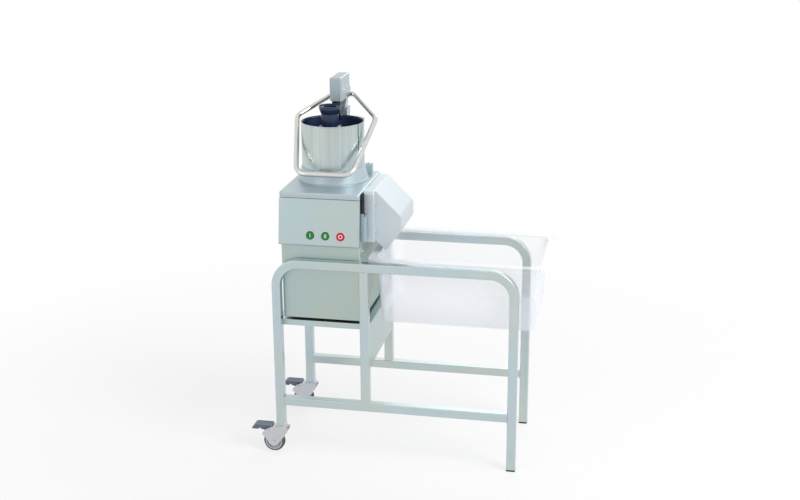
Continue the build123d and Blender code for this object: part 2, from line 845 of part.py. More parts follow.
# Control panel: a leaning sheet box on the front, with three round push buttons
with BuildPart() as control_panel:
    with BuildSketch(Plane.YZ.offset(body_x)):
        with BuildLine():
            Polyline(
                (body_front, panel_bottom), (panel_bottom_y, panel_bottom), (panel_top_y, panel_top),
                (body_front, panel_top), close=True,
            )
        make_face()
    extrude(amount=body_width / 2, both=True)
    fillet(control_panel.edges().group_by(Axis.Y)[0], panel_corner)
    with BuildSketch(Plane.YZ.offset(body_x)):
        with BuildLine():
            Polyline(
                (body_front + 1, panel_bottom + panel_sheet),
                (panel_bottom_y + 4, panel_bottom + panel_sheet),
                (panel_bottom_y + panel_sheet + 1, panel_bottom + 8),
                (panel_top_y + panel_sheet, panel_top - 2), (body_front + 1, panel_top - 2), close=True,
            )
        make_face()
    extrude(amount=body_width / 2 - panel_sheet, both=True, mode=Mode.SUBTRACT)
    button_share = button_rise / (panel_top - panel_bottom)
    button_y = panel_bottom_y + button_share * (panel_top_y - panel_bottom_y)
    button_xs = [body_x + button_start + index * button_pitch for index in range(3)]
    button_facing = (0, -cos(panel_lean), sin(panel_lean))
    for button_x in button_xs:
        with BuildSketch(Plane((button_x, button_y, button_z), x_dir=(1, 0, 0), z_dir=button_facing)):
            Circle(button_radius + loose_gap)
        extrude(amount=-3 * panel_sheet, mode=Mode.SUBTRACT)
write(control_panel.part, "control_panel")

with BuildPart() as button_bezels:
    for button_x in button_xs:
        with BuildSketch(Plane((button_x, button_y, button_z), x_dir=(1, 0, 0), z_dir=button_facing)):
            Circle(button_radius + bezel_width)
            Circle(button_radius + loose_gap, mode=Mode.SUBTRACT)
        extrude(amount=bezel_proud)
write(button_bezels.part, "button_bezels")

with BuildPart() as button_switches:
    for button_x in button_xs:
        with BuildSketch(Plane.XZ.offset(-bowl_front)):
            with Locations((button_x, button_z)):
                Rectangle(switch_side, switch_side)
        extrude(amount=switch_depth - 4)
write(button_switches.part, "button_switches")

for name, button_x in zip(("button_one", "button_two", "button_stop"), button_xs):
    dish = 0.8 if name == "button_stop" else 1.2
    with BuildPart() as button:
        with BuildSketch(Plane((button_x, button_y, button_z), x_dir=(1, 0, 0), z_dir=button_facing)):
            Circle(button_radius)
        extrude(amount=button_proud, both=True)
        crown = button.edges().sort_by(lambda edge: edge.center().dot(Vector(*button_facing)))[-1]
        chamfer(crown, dish)
        with BuildSketch(Plane((button_x, button_y, button_z), x_dir=(1, 0, 0), z_dir=button_facing)):
            Circle(stem_radius)
        extrude(amount=-button_proud - button_travel - 4)
    write(button.part, name)

# Motor hung under the bowl, its pulley and the belt to the spindle
with BuildPart() as motor_stator:
    with BuildSketch(Plane.XY.offset(motor_bottom)):
        with Locations((body_x, motor_y)):
            Circle(motor_radius)
    extrude(amount=motor_top - motor_bottom)
    with BuildSketch(Plane.XY.offset(motor_bottom + bearing_height)):
        with Locations((body_x, motor_y)):
            Circle(motor_radius - stator_wall)
    extrude(amount=motor_top - motor_bottom - 2 * bearing_height, mode=Mode.SUBTRACT)
    with BuildSketch(Plane.XY.offset(motor_bottom)):
        with Locations((body_x, motor_y)):
            Circle(motor_shaft_radius + run_gap)
    extrude(amount=motor_top - motor_bottom, mode=Mode.SUBTRACT)
write(motor_stator.part, "motor_stator")

with BuildPart() as motor_rotor:
    with BuildSketch(Plane.XY.offset(motor_bottom + bearing_height + loose_gap)):
        with Locations((body_x, motor_y)):
            Circle(motor_radius - stator_wall - rotor_gap)
    extrude(amount=motor_top - motor_bottom - 2 * bearing_height - 2 * loose_gap)
    with BuildSketch(Plane.XY.offset(motor_bottom - 4)):
        with Locations((body_x, motor_y)):
            Circle(motor_shaft_radius)
    extrude(amount=pulley_z + pulley_height - motor_bottom + 8)
write(motor_rotor.part, "motor_rotor")

with BuildPart() as motor_mount:
    with BuildSketch(Plane.XY.offset(plate_z)):
        with Locations((body_x, motor_y)):
            RectangleRounded(*plate_size, body_corner)
        with Locations((body_x, motor_y)):
            Circle(motor_shaft_radius + loose_gap, mode=Mode.SUBTRACT)
    extrude(amount=plate_thick)
    stud_x, stud_reach = stud_spread
    studs = ((motor_y - stud_reach, chamber_floor - floor_thick), (motor_y + stud_reach, body_top))
    for stud_y, stud_top in studs:
        with BuildSketch(Plane.XY.offset(plate_z + plate_thick)):
            with Locations((body_x - stud_x, stud_y), (body_x + stud_x, stud_y)):
                Circle(stud_radius)
        extrude(amount=stud_top - plate_z - plate_thick)
write(motor_mount.part, "motor_mount")


def pulley(x, y, radius, bore):
    with BuildPart() as wheel:
        with BuildSketch(Plane.XY.offset(pulley_z)):
            with Locations((x, y)):
                Circle(radius)
                Circle(bore + run_gap, mode=Mode.SUBTRACT)
        extrude(amount=pulley_height)
        if radius > 3 * bore:
            with BuildSketch(Plane.XY.offset(pulley_z)):
                with Locations((x, y)):
                    with PolarLocations((radius + 2 * bore) / 2, 6):
                        Circle((radius - 2 * bore) / 3)
            extrude(amount=pulley_height, mode=Mode.SUBTRACT)
    return wheel.part


write(pulley(body_x, motor_y, motor_pulley_radius, motor_shaft_radius), "motor_pulley")
write(pulley(body_x, disc_y, spindle_pulley_radius, spindle_radius), "spindle_pulley")


def belt_outline(growth):
    with BuildSketch(Plane.XY.offset(pulley_z + 2)) as outline:
        with Locations((body_x, motor_y)):
            Circle(motor_pulley_radius + growth)
        with Locations((body_x, disc_y)):
            Circle(spindle_pulley_radius + growth)
        make_hull()
    return outline.sketch


with BuildPart() as drive_belt:
    add(belt_outline(loose_gap + belt_thick))
    extrude(amount=pulley_height - 4)
    add(belt_outline(loose_gap))
    extrude(amount=pulley_height - 4, mode=Mode.SUBTRACT)
write(drive_belt.part, "drive_belt")

bearing_top = chamber_floor - floor_thick - 2
with BuildPart() as spindle_bearing:
    with BuildSketch(Plane.XY.offset(body_top)):
        with Locations((body_x, disc_y)):
            Circle(spindle_bearing_radius)
            Circle(spindle_radius + run_gap, mode=Mode.SUBTRACT)
    extrude(amount=bearing_top - body_top)
write(spindle_bearing.part, "spindle_bearing")

with BuildPart() as spindle:
    with BuildSketch(Plane.XY.offset(spindle_bottom)):
        with Locations((body_x, disc_y)):
            Circle(spindle_radius)
    extrude(amount=spindle_top - spindle_bottom)
    chamfer(spindle.edges().group_by(Axis.Z)[-1], 1.5)
write(spindle.part, "spindle")

with BuildPart() as ejector_disc:
    with BuildSketch(Plane.XY.offset(ejector_z)):
        with Locations((body_x, disc_y)):
            Circle(disc_radius)
            Circle(spindle_radius + run_gap, mode=Mode.SUBTRACT)
    extrude(amount=ejector_thick)
    with BuildSketch(Plane.XY.offset(ejector_z)):
        with Locations((body_x, disc_y)):
            Circle(hub_radius)
            Circle(spindle_radius + run_gap, mode=Mode.SUBTRACT)
    extrude(amount=disc_z - ejector_z)
    with BuildSketch(Plane.XY.offset(ejector_z + ejector_thick)):
        with Locations((body_x, disc_y)):
            with PolarLocations((hub_radius + disc_radius) / 2 - 1, 4):
                Rectangle(disc_radius - hub_radius, 6)
    extrude(amount=ejector_vane)
write(ejector_disc.part, "ejector_disc")

blade_reach = disc_radius - hub_radius - 16
with BuildPart() as slicing_disc:
    with BuildSketch(Plane.XY.offset(disc_z)):
        with Locations((body_x, disc_y)):
            Circle(disc_radius)
    extrude(amount=disc_thick)
    with BuildSketch(Plane.XY.offset(disc_z)):
        with Locations((body_x, disc_y)):
            Circle(hub_radius)
    extrude(amount=hub_top - disc_z, taper=12)
    with BuildSketch(Plane.XY.offset(disc_z)):
        with Locations((body_x, disc_y)):
            with PolarLocations((hub_radius + disc_radius) / 2, 3):
                SlotOverall(blade_reach, 16)
    extrude(amount=disc_thick, mode=Mode.SUBTRACT)
    with BuildSketch(Plane.XY.offset(disc_z)):
        with Locations((body_x, disc_y)):
            Circle(spindle_radius + run_gap)
    extrude(amount=spindle_top - disc_z + run_gap, mode=Mode.SUBTRACT)
    with BuildSketch(Plane.XY.offset(disc_z + disc_thick)):
        with Locations((body_x, disc_y)):
            with PolarLocations((hub_radius + disc_radius) / 2, 3):
                with Locations((0, 10)):
                    Rectangle(blade_reach + 8, 9)
    extrude(amount=2, taper=25)
write(slicing_disc.part, "slicing_disc")

# Lid: a shallow cover with a skirt, two hinge knuckles and a ring that dips to the chamber
lid_width = body_width - 2 * lid_side_gap
lid_depth = bowl_back - lid_front
lid_mid = (bowl_back + lid_front) / 2
with BuildPart() as lid:
    with BuildSketch(Plane.XY.offset(lid_bottom)):
        with Locations((body_x, lid_mid)):
            RectangleRounded(lid_width, lid_depth, lid_corner)
    extrude(amount=lid_top - lid_bottom)
    fillet(lid.edges().group_by(Axis.Z)[-1], lid_edge)
    with BuildSketch(Plane.XY.offset(lid_bottom)):
        with Locations((body_x, lid_mid)):
            RectangleRounded(lid_width - 2 * lid_wall, lid_depth - 2 * lid_wall, lid_corner - lid_wall)
        with Locations((body_x, hopper_y)):
            Circle(flange_radius - 4, mode=Mode.SUBTRACT)
    extrude(amount=lid_top - lid_plate - lid_bottom, mode=Mode.SUBTRACT)
    with BuildSketch(Plane.XY.offset(lid_bottom)):
        with Locations((body_x, hopper_y)):
            Circle(chamber_bore)
    extrude(amount=lid_top - lid_bottom, mode=Mode.SUBTRACT)
    for side in (-1, 1):
        with BuildSketch(Plane.YZ.offset(body_x + side * hinge_span - knuckle_width / 2)):
            with Locations((hinge_y, hinge_z)):
                Circle(hinge_lug_radius)
            with Locations(((bowl_back - 2 + hinge_y) / 2, (lid_bottom + hinge_z + hinge_lug_radius) / 2)):
                Rectangle(hinge_y - bowl_back + 2, hinge_z + hinge_lug_radius - lid_bottom)
            with Locations((hinge_y, hinge_z)):
                Circle(hinge_pin_radius + run_gap, mode=Mode.SUBTRACT)
        extrude(amount=knuckle_width)
write(lid.part, "lid")

with BuildPart() as hopper_flange:
    with BuildSketch(Plane.XZ):
        with BuildLine():
            Polyline(
                (chamber_bore, lid_top), (flange_radius, lid_top), (flange_radius, lid_top + flange_edge),
                (flange_radius - 2, lid_top + flange_edge + 2), (hopper_radius + hopper_sheet, skirt_top),
                (hopper_radius + run_gap, skirt_top), (hopper_radius + run_gap, hopper_seat),
                (chamber_bore, hopper_seat), close=True,
            )
        make_face()
    revolve(axis=Axis.Z)
write(hopper_flange.part.moved(Location((body_x, hopper_y, 0))), "hopper_flange")

with BuildPart() as hopper_shell:
    with BuildSketch(Plane.XZ):
        with BuildLine():
            Polyline(
                (hopper_radius - hopper_sheet, hopper_seat), (hopper_radius, hopper_seat),
                (hopper_radius, hopper_top - 4), (hopper_radius + 1.5, hopper_top - 3),
                (hopper_radius + 1.5, hopper_top), (hopper_radius - hopper_sheet, hopper_top), close=True,
            )
        make_face()
    revolve(axis=Axis.Z)
    with BuildSketch(Plane.XY.offset(hopper_top)):
        with PolarLocations(hopper_radius, 1, start_angle=slot_angle):
            Rectangle(20, slot_width)
    extrude(amount=-slot_depth, mode=Mode.SUBTRACT)
    tab_corners = [(0, 0)] + [
        (2 * hopper_radius * cos(radians(angle)), 2 * hopper_radius * sin(radians(angle)))
        for angle in rim_tab_angles
    ]
    with BuildSketch(Plane.XY.offset(hopper_top)):
        Circle(hopper_radius + rim_tab_width)
        Circle(hopper_radius - 1, mode=Mode.SUBTRACT)
        with BuildLine():
            Polyline(*tab_corners, close=True)
        make_face(mode=Mode.INTERSECT)
    extrude(amount=-rim_tab_thick)
write(hopper_shell.part.moved(Location((body_x, hopper_y, 0))), "hopper_shell")

with BuildPart() as hopper_liner:
    with BuildSketch(Plane.XY.offset(hopper_seat)):
        with Locations((body_x, hopper_y)):
            Circle(chamber_bore + liner_thick)
            Circle(chamber_bore, mode=Mode.SUBTRACT)
    extrude(amount=liner_top - hopper_seat)
write(hopper_liner.part, "hopper_liner")

clamp_x, clamp_y = clamp_offset
with BuildPart() as hopper_clamps:
    with BuildSketch(Plane.XY.offset(lid_top)):
        with Locations((body_x - clamp_x, hopper_y + clamp_y), (body_x + clamp_x, hopper_y + clamp_y)):
            Rectangle(clamp_size[0], clamp_size[1])
    extrude(amount=clamp_size[2])
    fillet(hopper_clamps.edges().filter_by(Axis.X).group_by(Axis.Z)[-1], 6)
    with BuildSketch(Plane.XY.offset(lid_top)):
        with Locations((body_x, hopper_y)):
            Circle(flange_radius + loose_gap)
    extrude(amount=clamp_size[2], mode=Mode.SUBTRACT)
write(hopper_clamps.part, "hopper_clamps")

# Column on the lid behind the hopper, leaning back to the lug that carries the lever
column_front = bowl_back - column_set
column_rear = column_front + 1.75 * column_depth
with BuildPart() as lever_column:
    with BuildSketch(Plane.YZ.offset(body_x)):
        with BuildLine():
            Polyline(
                (column_front, lid_top), (column_front, column_shoulder - 10),
                (lever_pin_y - 11, lever_pin_z - 8), (lever_pin_y + 8, lever_pin_z - 11),
                (column_rear + 8, column_shoulder), (column_rear, column_shoulder - 30),
                (column_rear, lid_top), close=True,
            )
        make_face()
    extrude(amount=column_width / 2, both=True)
    with BuildSketch(Plane.YZ.offset(body_x)):
        with Locations((lever_pin_y, (lever_pin_z + column_shoulder) / 2)):
            Rectangle(2 * (lever_pin_y - column_front + lug_radius), lever_pin_z - column_shoulder)
    extrude(amount=column_width, both=True, mode=Mode.SUBTRACT)
    fillet(lever_column.edges().filter_by(Axis.Z).group_by(Axis.Y)[-1], 8)
    with BuildSketch(Plane.YZ.offset(body_x)):
        with BuildLine():
            Polyline(
                (column_front + 8, column_shoulder - 20), (column_front + 8, column_shoulder),
                (lever_pin_y - 11, lever_pin_z - 8), (lever_pin_y + 10, lever_pin_z - 9),
                (column_rear + 7, column_shoulder - 4), (column_rear - 4, column_shoulder - 20), close=True,
            )
        make_face()
        with Locations((lever_pin_y, lever_pin_z)):
            Circle(lug_radius)
    extrude(amount=column_lug / 2, both=True)
    with BuildSketch(Plane.YZ.offset(body_x)):
        with Locations((lever_pin_y, lever_pin_z)):
            Circle(lever_pin_radius + run_gap)
    extrude(amount=column_width, both=True, mode=Mode.SUBTRACT)
    with BuildSketch(Plane.XY.offset(lid_top)):
        with Locations((body_x, hopper_y)):
            Circle(flange_radius + loose_gap)
    extrude(amount=skirt_height + loose_gap, mode=Mode.SUBTRACT)
write(lever_column.part, "lever_column")

# Lever: hollow cover, two side plates with the rear eyes, two arms down to the cross pin
bolt_spots = [(cover_front + place, cover_bottom + bolt_rise) for place in bolt_places]
lever_span = 2 * (cross_pin_reach + cover_height)
with BuildPart() as lever_cover:
    with BuildSketch(Plane.YZ.offset(body_x)):
        with BuildLine():
            Polyline(
                (cover_front, cover_bottom), (cover_front, cover_top), (cover_back, cover_top),
                (cover_back, cover_cut_z), (cover_cut_y, cover_bottom), close=True,
            )
        make_face()
    extrude(amount=cover_width / 2, both=True)
    fillet(lever_cover.edges().group_by(Axis.Z)[-1] + lever_cover.edges().filter_by(Axis.Z), cover_edge)
    with BuildSketch(Plane.XY.offset(cover_bottom)):
        with Locations((body_x, (cover_front + cover_back) / 2)):
            Rectangle(cover_width - 2 * cover_wall, cover_back - cover_front - 2 * cover_wall)
    extrude(amount=cover_top - cover_wall - cover_bottom, mode=Mode.SUBTRACT)
write(lever_cover.part, "lever_cover")

with BuildPart() as lever_plates:
    with BuildSketch(Plane.YZ.offset(body_x)):
        with BuildLine():
            Polyline(
                (lever_pin_y, lever_pin_z + eye_radius),
                (cover_back - cover_wall - 1, cover_cut_z - 3),
                (cover_back - 12, cover_top - plate_drop),
                (cover_front + arm_front_set, cover_top - plate_drop),
                (cover_front + 10, cover_bottom + 15), (cover_cut_y - 5, cover_bottom + 6),
                (lever_pin_y, lever_pin_z - eye_radius), close=True,
            )
        make_face()
        with Locations((lever_pin_y, lever_pin_z)):
            Circle(eye_radius)
        with Locations(handle_end):
            Circle(handle_radius + 2)
        with Locations((lever_pin_y, lever_pin_z)):
            Circle(lever_pin_radius + run_gap, mode=Mode.SUBTRACT)
        with Locations(*bolt_spots):
            Circle(bolt_radius + run_gap, mode=Mode.SUBTRACT)
    extrude(amount=plate_outer, both=True)
    with BuildSketch(Plane.YZ.offset(body_x)):
        with Locations((lever_pin_y, lever_pin_z)):
            Rectangle(lever_span, lever_span)
    extrude(amount=arm_outer + loose_gap, both=True, mode=Mode.SUBTRACT)
write(lever_plates.part, "lever_plates")

with BuildPart() as lever_arms:
    with BuildSketch(Plane.YZ.offset(body_x)):
        with BuildLine():
            Polyline(
                (cross_pin_y - arm_end_radius, cross_pin_z),
                (cross_pin_y - arm_end_radius, cover_bottom + 10),
                (cover_front + arm_front_set, cover_top - arm_drop),
                (cover_back - arm_rear_set, cover_top - arm_drop),
                (cover_back - arm_rear_set, cover_bottom),
                (cross_pin_y + arm_end_radius, cross_pin_z), close=True,
            )
        make_face()
        with Locations((cross_pin_y, cross_pin_z)):
            Circle(arm_end_radius)
            Circle(cross_pin_radius + run_gap, mode=Mode.SUBTRACT)
        with Locations(*bolt_spots):
            Circle(bolt_radius + run_gap, mode=Mode.SUBTRACT)
    extrude(amount=arm_outer, both=True)
    with BuildSketch(Plane.YZ.offset(body_x)):
        with Locations((lever_pin_y, lever_pin_z)):
            Rectangle(lever_span, lever_span)
    extrude(amount=arm_inner, both=True, mode=Mode.SUBTRACT)
write(lever_arms.part, "lever_arms")

with BuildPart() as lever_pins:
    with BuildSketch(Plane.YZ.offset(body_x)):
        with Locations((lever_pin_y, lever_pin_z)):
            Circle(lever_pin_radius)
        with Locations(*bolt_spots):
            Circle(bolt_radius)
    extrude(amount=plate_outer, both=True)
    with BuildSketch(Plane.YZ.offset(body_x)):
        with Locations((cross_pin_y, cross_pin_z)):
            Circle(cross_pin_radius)
    extrude(amount=arm_outer + 2, both=True)
write(lever_pins.part, "lever_pins")

# Handle: one bent tube that starts and ends on the side plates and loops round the hopper
handle_start = plate_outer + 0.1
end_y, end_z = handle_end
half_route = [
    (handle_start, end_y, end_z), (handle_start + handle_stub, end_y, end_z), handle_upper, handle_lower,
]
route_points = [(body_x + x, y, z) for x, y, z in half_route]
route_points += [(body_x - x, y, z) for x, y, z in reversed(half_route)]
route_bends = [handle_stub, handle_upper_bend, handle_lower_bend]
with BuildPart() as lever_handle:
    with BuildLine() as route:
        FilletPolyline(*route_points, radius=route_bends + route_bends[::-1])
    with BuildSketch(Plane(route_points[0], x_dir=(0, 1, 0), z_dir=(1, 0, 0))):
        Circle(handle_radius)
        Circle(handle_radius - handle_wall, mode=Mode.SUBTRACT)
    sweep(path=route.line)
write(lever_handle.part, "lever_handle")

# Pusher: cup shaped piston, feed tube with a flared rim, and the slotted yoke on its stem
with BuildPart() as pusher_piston:
    with BuildSketch(Plane.XY.offset(piston_bottom)):
        with Locations((body_x, hopper_y)):
            Circle(chamber_bore - piston_gap)
    extrude(amount=piston_height)
    chamfer(pusher_piston.edges().group_by(Axis.Z)[0], piston_edge)
    with BuildSketch(Plane.XY.offset(piston_bottom + piston_floor)):
        with Locations((body_x, hopper_y)):
            Circle(chamber_bore - piston_gap - piston_wall)
    extrude(amount=piston_height, mode=Mode.SUBTRACT)
    with BuildSketch(Plane.XY.offset(piston_bottom)):
        with Locations((body_x, feed_tube_y)):
            Circle(feed_tube_bore)
    extrude(amount=piston_floor, mode=Mode.SUBTRACT)
write(pusher_piston.part, "pusher_piston")

tube_seat = piston_bottom + piston_floor
pocket_floor = feed_tube_top - hand_pocket
collar_reach = feed_tube_radius + feed_collar_reach
with BuildPart() as pusher_tube:
    with BuildSketch(Plane.XZ):
        with BuildLine():
            Polyline(
                (feed_tube_bore, tube_seat), (feed_tube_radius + 8, tube_seat),
                (feed_tube_radius, tube_seat + 12),
                (feed_tube_radius, feed_collar_z - feed_collar_height / 2 - 3),
                (collar_reach, feed_collar_z - feed_collar_height / 2),
                (collar_reach, feed_collar_z + 3),
                (feed_tube_radius, feed_collar_z + feed_collar_height / 2),
                (feed_tube_radius, feed_tube_top - feed_rim_height),
                (feed_rim_radius, feed_tube_top - 10), (feed_rim_radius, feed_tube_top),
                (feed_rim_radius - feed_rim_wall, feed_tube_top),
                (feed_rim_radius - feed_rim_wall, pocket_floor), (feed_tube_bore, pocket_floor),
                close=True,
            )
        make_face()
    revolve(axis=Axis.Z)
write(pusher_tube.part.moved(Location((body_x, feed_tube_y, 0))), "pusher_tube")

yoke_y = cross_pin_y - yoke_slot_shift / 2
slot_height = 2 * (cross_pin_radius + yoke_slot_play)
with BuildPart() as pusher_yoke:
    with BuildSketch(Plane.XY.offset(tube_seat)):
        with Locations((body_x, cross_pin_y)):
            Circle(pusher_stem_radius + 8)
    extrude(amount=6)
    with BuildSketch(Plane.XY.offset(tube_seat)):
        with Locations((body_x, cross_pin_y)):
            Circle(pusher_stem_radius)
    extrude(amount=cross_pin_z - slot_height / 2 - 3 - tube_seat)
    with BuildSketch(Plane.YZ.offset(body_x)):
        with Locations((yoke_y, cross_pin_z)):
            SlotOverall(yoke_slot_shift + 1 + slot_height + 2 * yoke_margin, slot_height + 2 * yoke_margin)
            SlotOverall(yoke_slot_shift + 1 + slot_height, slot_height, mode=Mode.SUBTRACT)
    extrude(amount=yoke_width / 2, both=True)
write(pusher_yoke.part, "pusher_yoke")

hand_radius = feed_tube_bore - hand_pusher_gap
with BuildPart() as hand_pusher:
    with BuildSketch(Plane.XY.offset(piston_bottom + 2)):
        with Locations((body_x, feed_tube_y)):
            Circle(hand_radius)
    extrude(amount=pocket_floor + loose_gap - piston_bottom - 2)
    with BuildSketch(Plane.XY.offset(pocket_floor + loose_gap)):
        with Locations((body_x, feed_tube_y)):
            Circle(feed_rim_radius - feed_rim_wall - 2 * hand_pusher_gap)
    extrude(amount=hand_head_thick)
    chamfer(hand_pusher.edges().group_by(Axis.Z)[-1], 1.5)
    with BuildSketch(Plane.XY.offset(pocket_floor + loose_gap + hand_head_thick)):
        with Locations((body_x, feed_tube_y)):
            Circle(hand_radius - 4)
    extrude(amount=-30, taper=3, mode=Mode.SUBTRACT)
write(hand_pusher.part, "hand_pusher")

# Container: a deep tapered box whose turned rim hangs on the rails
bin_x = bin_left + bin_length / 2
bin_lean = degrees(atan2(bin_taper, bin_height))
with BuildPart() as bin:
    with BuildSketch(Plane((bin_x, 0, bin_top))):
        RectangleRounded(bin_length - 2 * bin_rim, bin_width - 2 * bin_rim, bin_corner)
    extrude(amount=-bin_height, taper=bin_lean)
    with BuildSketch(Plane((bin_x, 0, rail_top))):
        RectangleRounded(bin_length, bin_width, bin_corner)
    extrude(amount=bin_rim_height)
    chamfer(bin.edges().group_by(Axis.Z)[-1], bin_wall / 2)
    with BuildSketch(Plane((bin_x, 0, rail_top))):
        RectangleRounded(bin_length - 2 * bin_wall, bin_width - 2 * bin_wall, bin_corner - bin_wall)
        RectangleRounded(bin_length - 2 * bin_rim, bin_width - 2 * bin_rim, bin_corner, mode=Mode.SUBTRACT)
    extrude(amount=bin_rim_height - bin_wall, mode=Mode.SUBTRACT)
    with BuildSketch(Plane((bin_x, 0, bin_top))):
        RectangleRounded(
            bin_length - 2 * (bin_rim + bin_wall), bin_width - 2 * (bin_rim + bin_wall),
            bin_corner - bin_wall,
        )
    extrude(amount=-bin_height + bin_wall, taper=bin_lean, mode=Mode.SUBTRACT)
write(bin.part, "bin")
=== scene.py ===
import bpy
import bmesh
from math import cos, pi, radians, sin
from mathutils import Matrix, Vector


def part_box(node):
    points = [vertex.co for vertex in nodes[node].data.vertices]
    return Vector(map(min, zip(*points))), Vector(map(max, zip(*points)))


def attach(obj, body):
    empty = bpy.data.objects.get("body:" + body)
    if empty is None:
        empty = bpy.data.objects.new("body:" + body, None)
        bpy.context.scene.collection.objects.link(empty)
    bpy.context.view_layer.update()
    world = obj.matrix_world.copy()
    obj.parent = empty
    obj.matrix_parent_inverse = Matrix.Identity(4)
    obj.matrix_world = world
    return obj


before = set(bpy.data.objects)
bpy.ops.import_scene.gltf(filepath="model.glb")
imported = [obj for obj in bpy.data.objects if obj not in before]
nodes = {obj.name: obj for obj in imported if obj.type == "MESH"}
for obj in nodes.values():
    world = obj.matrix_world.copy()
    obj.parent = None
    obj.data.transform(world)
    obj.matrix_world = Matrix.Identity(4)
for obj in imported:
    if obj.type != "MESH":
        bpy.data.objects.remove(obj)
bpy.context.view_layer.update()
print("frame loaded with", len(nodes), "nodes")


# Camera, standing at the photograph's place
cameraValues = {
    "azimuth": 11.514, "elevation": 17.558, "roll": 0.353, "distance": 4.43518,
    "target": (-0.01668, 0.0, 0.70452), "lens": 57.65, "sensor": 36.0, "farthest": 60.0,
}


def makeCamera(values):
    turn, rise = radians(values["azimuth"]), radians(values["elevation"])
    away = Vector((sin(turn) * cos(rise), -cos(turn) * cos(rise), sin(rise)))
    place = Vector(values["target"]) + away * values["distance"]
    camera = bpy.data.objects.new("photoCamera", bpy.data.cameras.new("photoCamera"))
    bpy.context.scene.collection.objects.link(camera)
    camera.data.lens = values["lens"]
    camera.data.sensor_width = values["sensor"]
    camera.data.clip_end = values["farthest"]
    facing = (-away).to_track_quat("-Z", "Y").to_matrix().to_4x4()
    rolled = Matrix.Rotation(radians(-values["roll"]), 4, "Z")
    camera.matrix_world = Matrix.Translation(place) @ facing @ rolled
    bpy.context.scene.camera = camera


makeCamera(cameraValues)
print("camera placed")


# Shader node helpers
def makeGroup(name, inputs, outputs):
    group = bpy.data.node_groups.new(name, "ShaderNodeTree")
    for label, kind, value in inputs:
        socket = group.interface.new_socket(name=label, in_out="INPUT", socket_type=kind)
        socket.default_value = value
    for label, kind in outputs:
        group.interface.new_socket(name=label, in_out="OUTPUT", socket_type=kind)
    return group, group.nodes.new("NodeGroupInput"), group.nodes.new("NodeGroupOutput")


def addNode(tree, kind, **settings):
    node = tree.nodes.new(kind)
    for key, value in settings.items():
        setattr(node, key, value)
    return node


# Links a socket to another node's output, or gives it a fixed value
def feed(tree, socket, value):
    if isinstance(value, bpy.types.NodeSocket):
        tree.links.new(value, socket)
    elif socket.type == "RGBA":
        socket.default_value = (*value, 1.0)
    else:
        socket.default_value = value


def feedAll(tree, node, values):
    for label, value in values.items():
        feed(tree, node.inputs[label], value)


def mathNode(tree, operation, first, second=0.0, clamp=False):
    node = addNode(tree, "ShaderNodeMath", operation=operation, use_clamp=clamp)
    feedAll(tree, node, {0: first, 1: second})
    return node.outputs[0]


def noiseNode(tree, vector, scale, detail, rough):
    node = addNode(tree, "ShaderNodeTexNoise")
    feedAll(tree, node, {"Vector": vector, "Scale": scale, "Detail": detail, "Roughness": rough})
    return node.outputs["Fac"]


# Noise that swings about zero by the given amount
def swing(tree, noise, amount):
    return mathNode(tree, "MULTIPLY", mathNode(tree, "SUBTRACT", noise, 0.5), amount)


def spread(tree, value, low, high, toLow, toHigh):
    node = addNode(tree, "ShaderNodeMapRange")
    feedAll(tree, node, {0: value, 1: low, 2: high, 3: toLow, 4: toHigh})
    return node.outputs[0]


def mixColours(tree, amount, first, second, blend="MIX"):
    node = addNode(tree, "ShaderNodeMix", data_type="RGBA", blend_type=blend)
    feedAll(tree, node, {0: amount, 6: first, 7: second})
    return node.outputs[2]


def scaleColour(tree, colour, amount):
    node = addNode(tree, "ShaderNodeVectorMath", operation="SCALE")
    feedAll(tree, node, {0: colour, "Scale": amount})
    return node.outputs[0]


def objectPlace(tree):
    return addNode(tree, "ShaderNodeTexCoord").outputs["Object"]


# Brushed grain: long fine scratches along one direction, soft hand marks and a slow drift of hue
grainPattern = {
    "fine": {"scale": 1.0, "detail": 4.0, "rough": 0.65},
    "broad": {"scale": 0.17, "detail": 2.0, "rough": 0.5},
    "marks": {"scale": 9.0, "detail": 3.0, "rough": 0.6},
    "drift": {"scale": 4.5, "detail": 2.0, "rough": 0.5},
    "fineShare": 0.65, "broadShare": 0.35, "driftSpan": (0.35, 0.65),
    "warm": (1.05, 1.005, 0.945), "cool": (0.955, 0.995, 1.05), "roughByGrain": 0.25, "roughByMarks": 0.8,
}


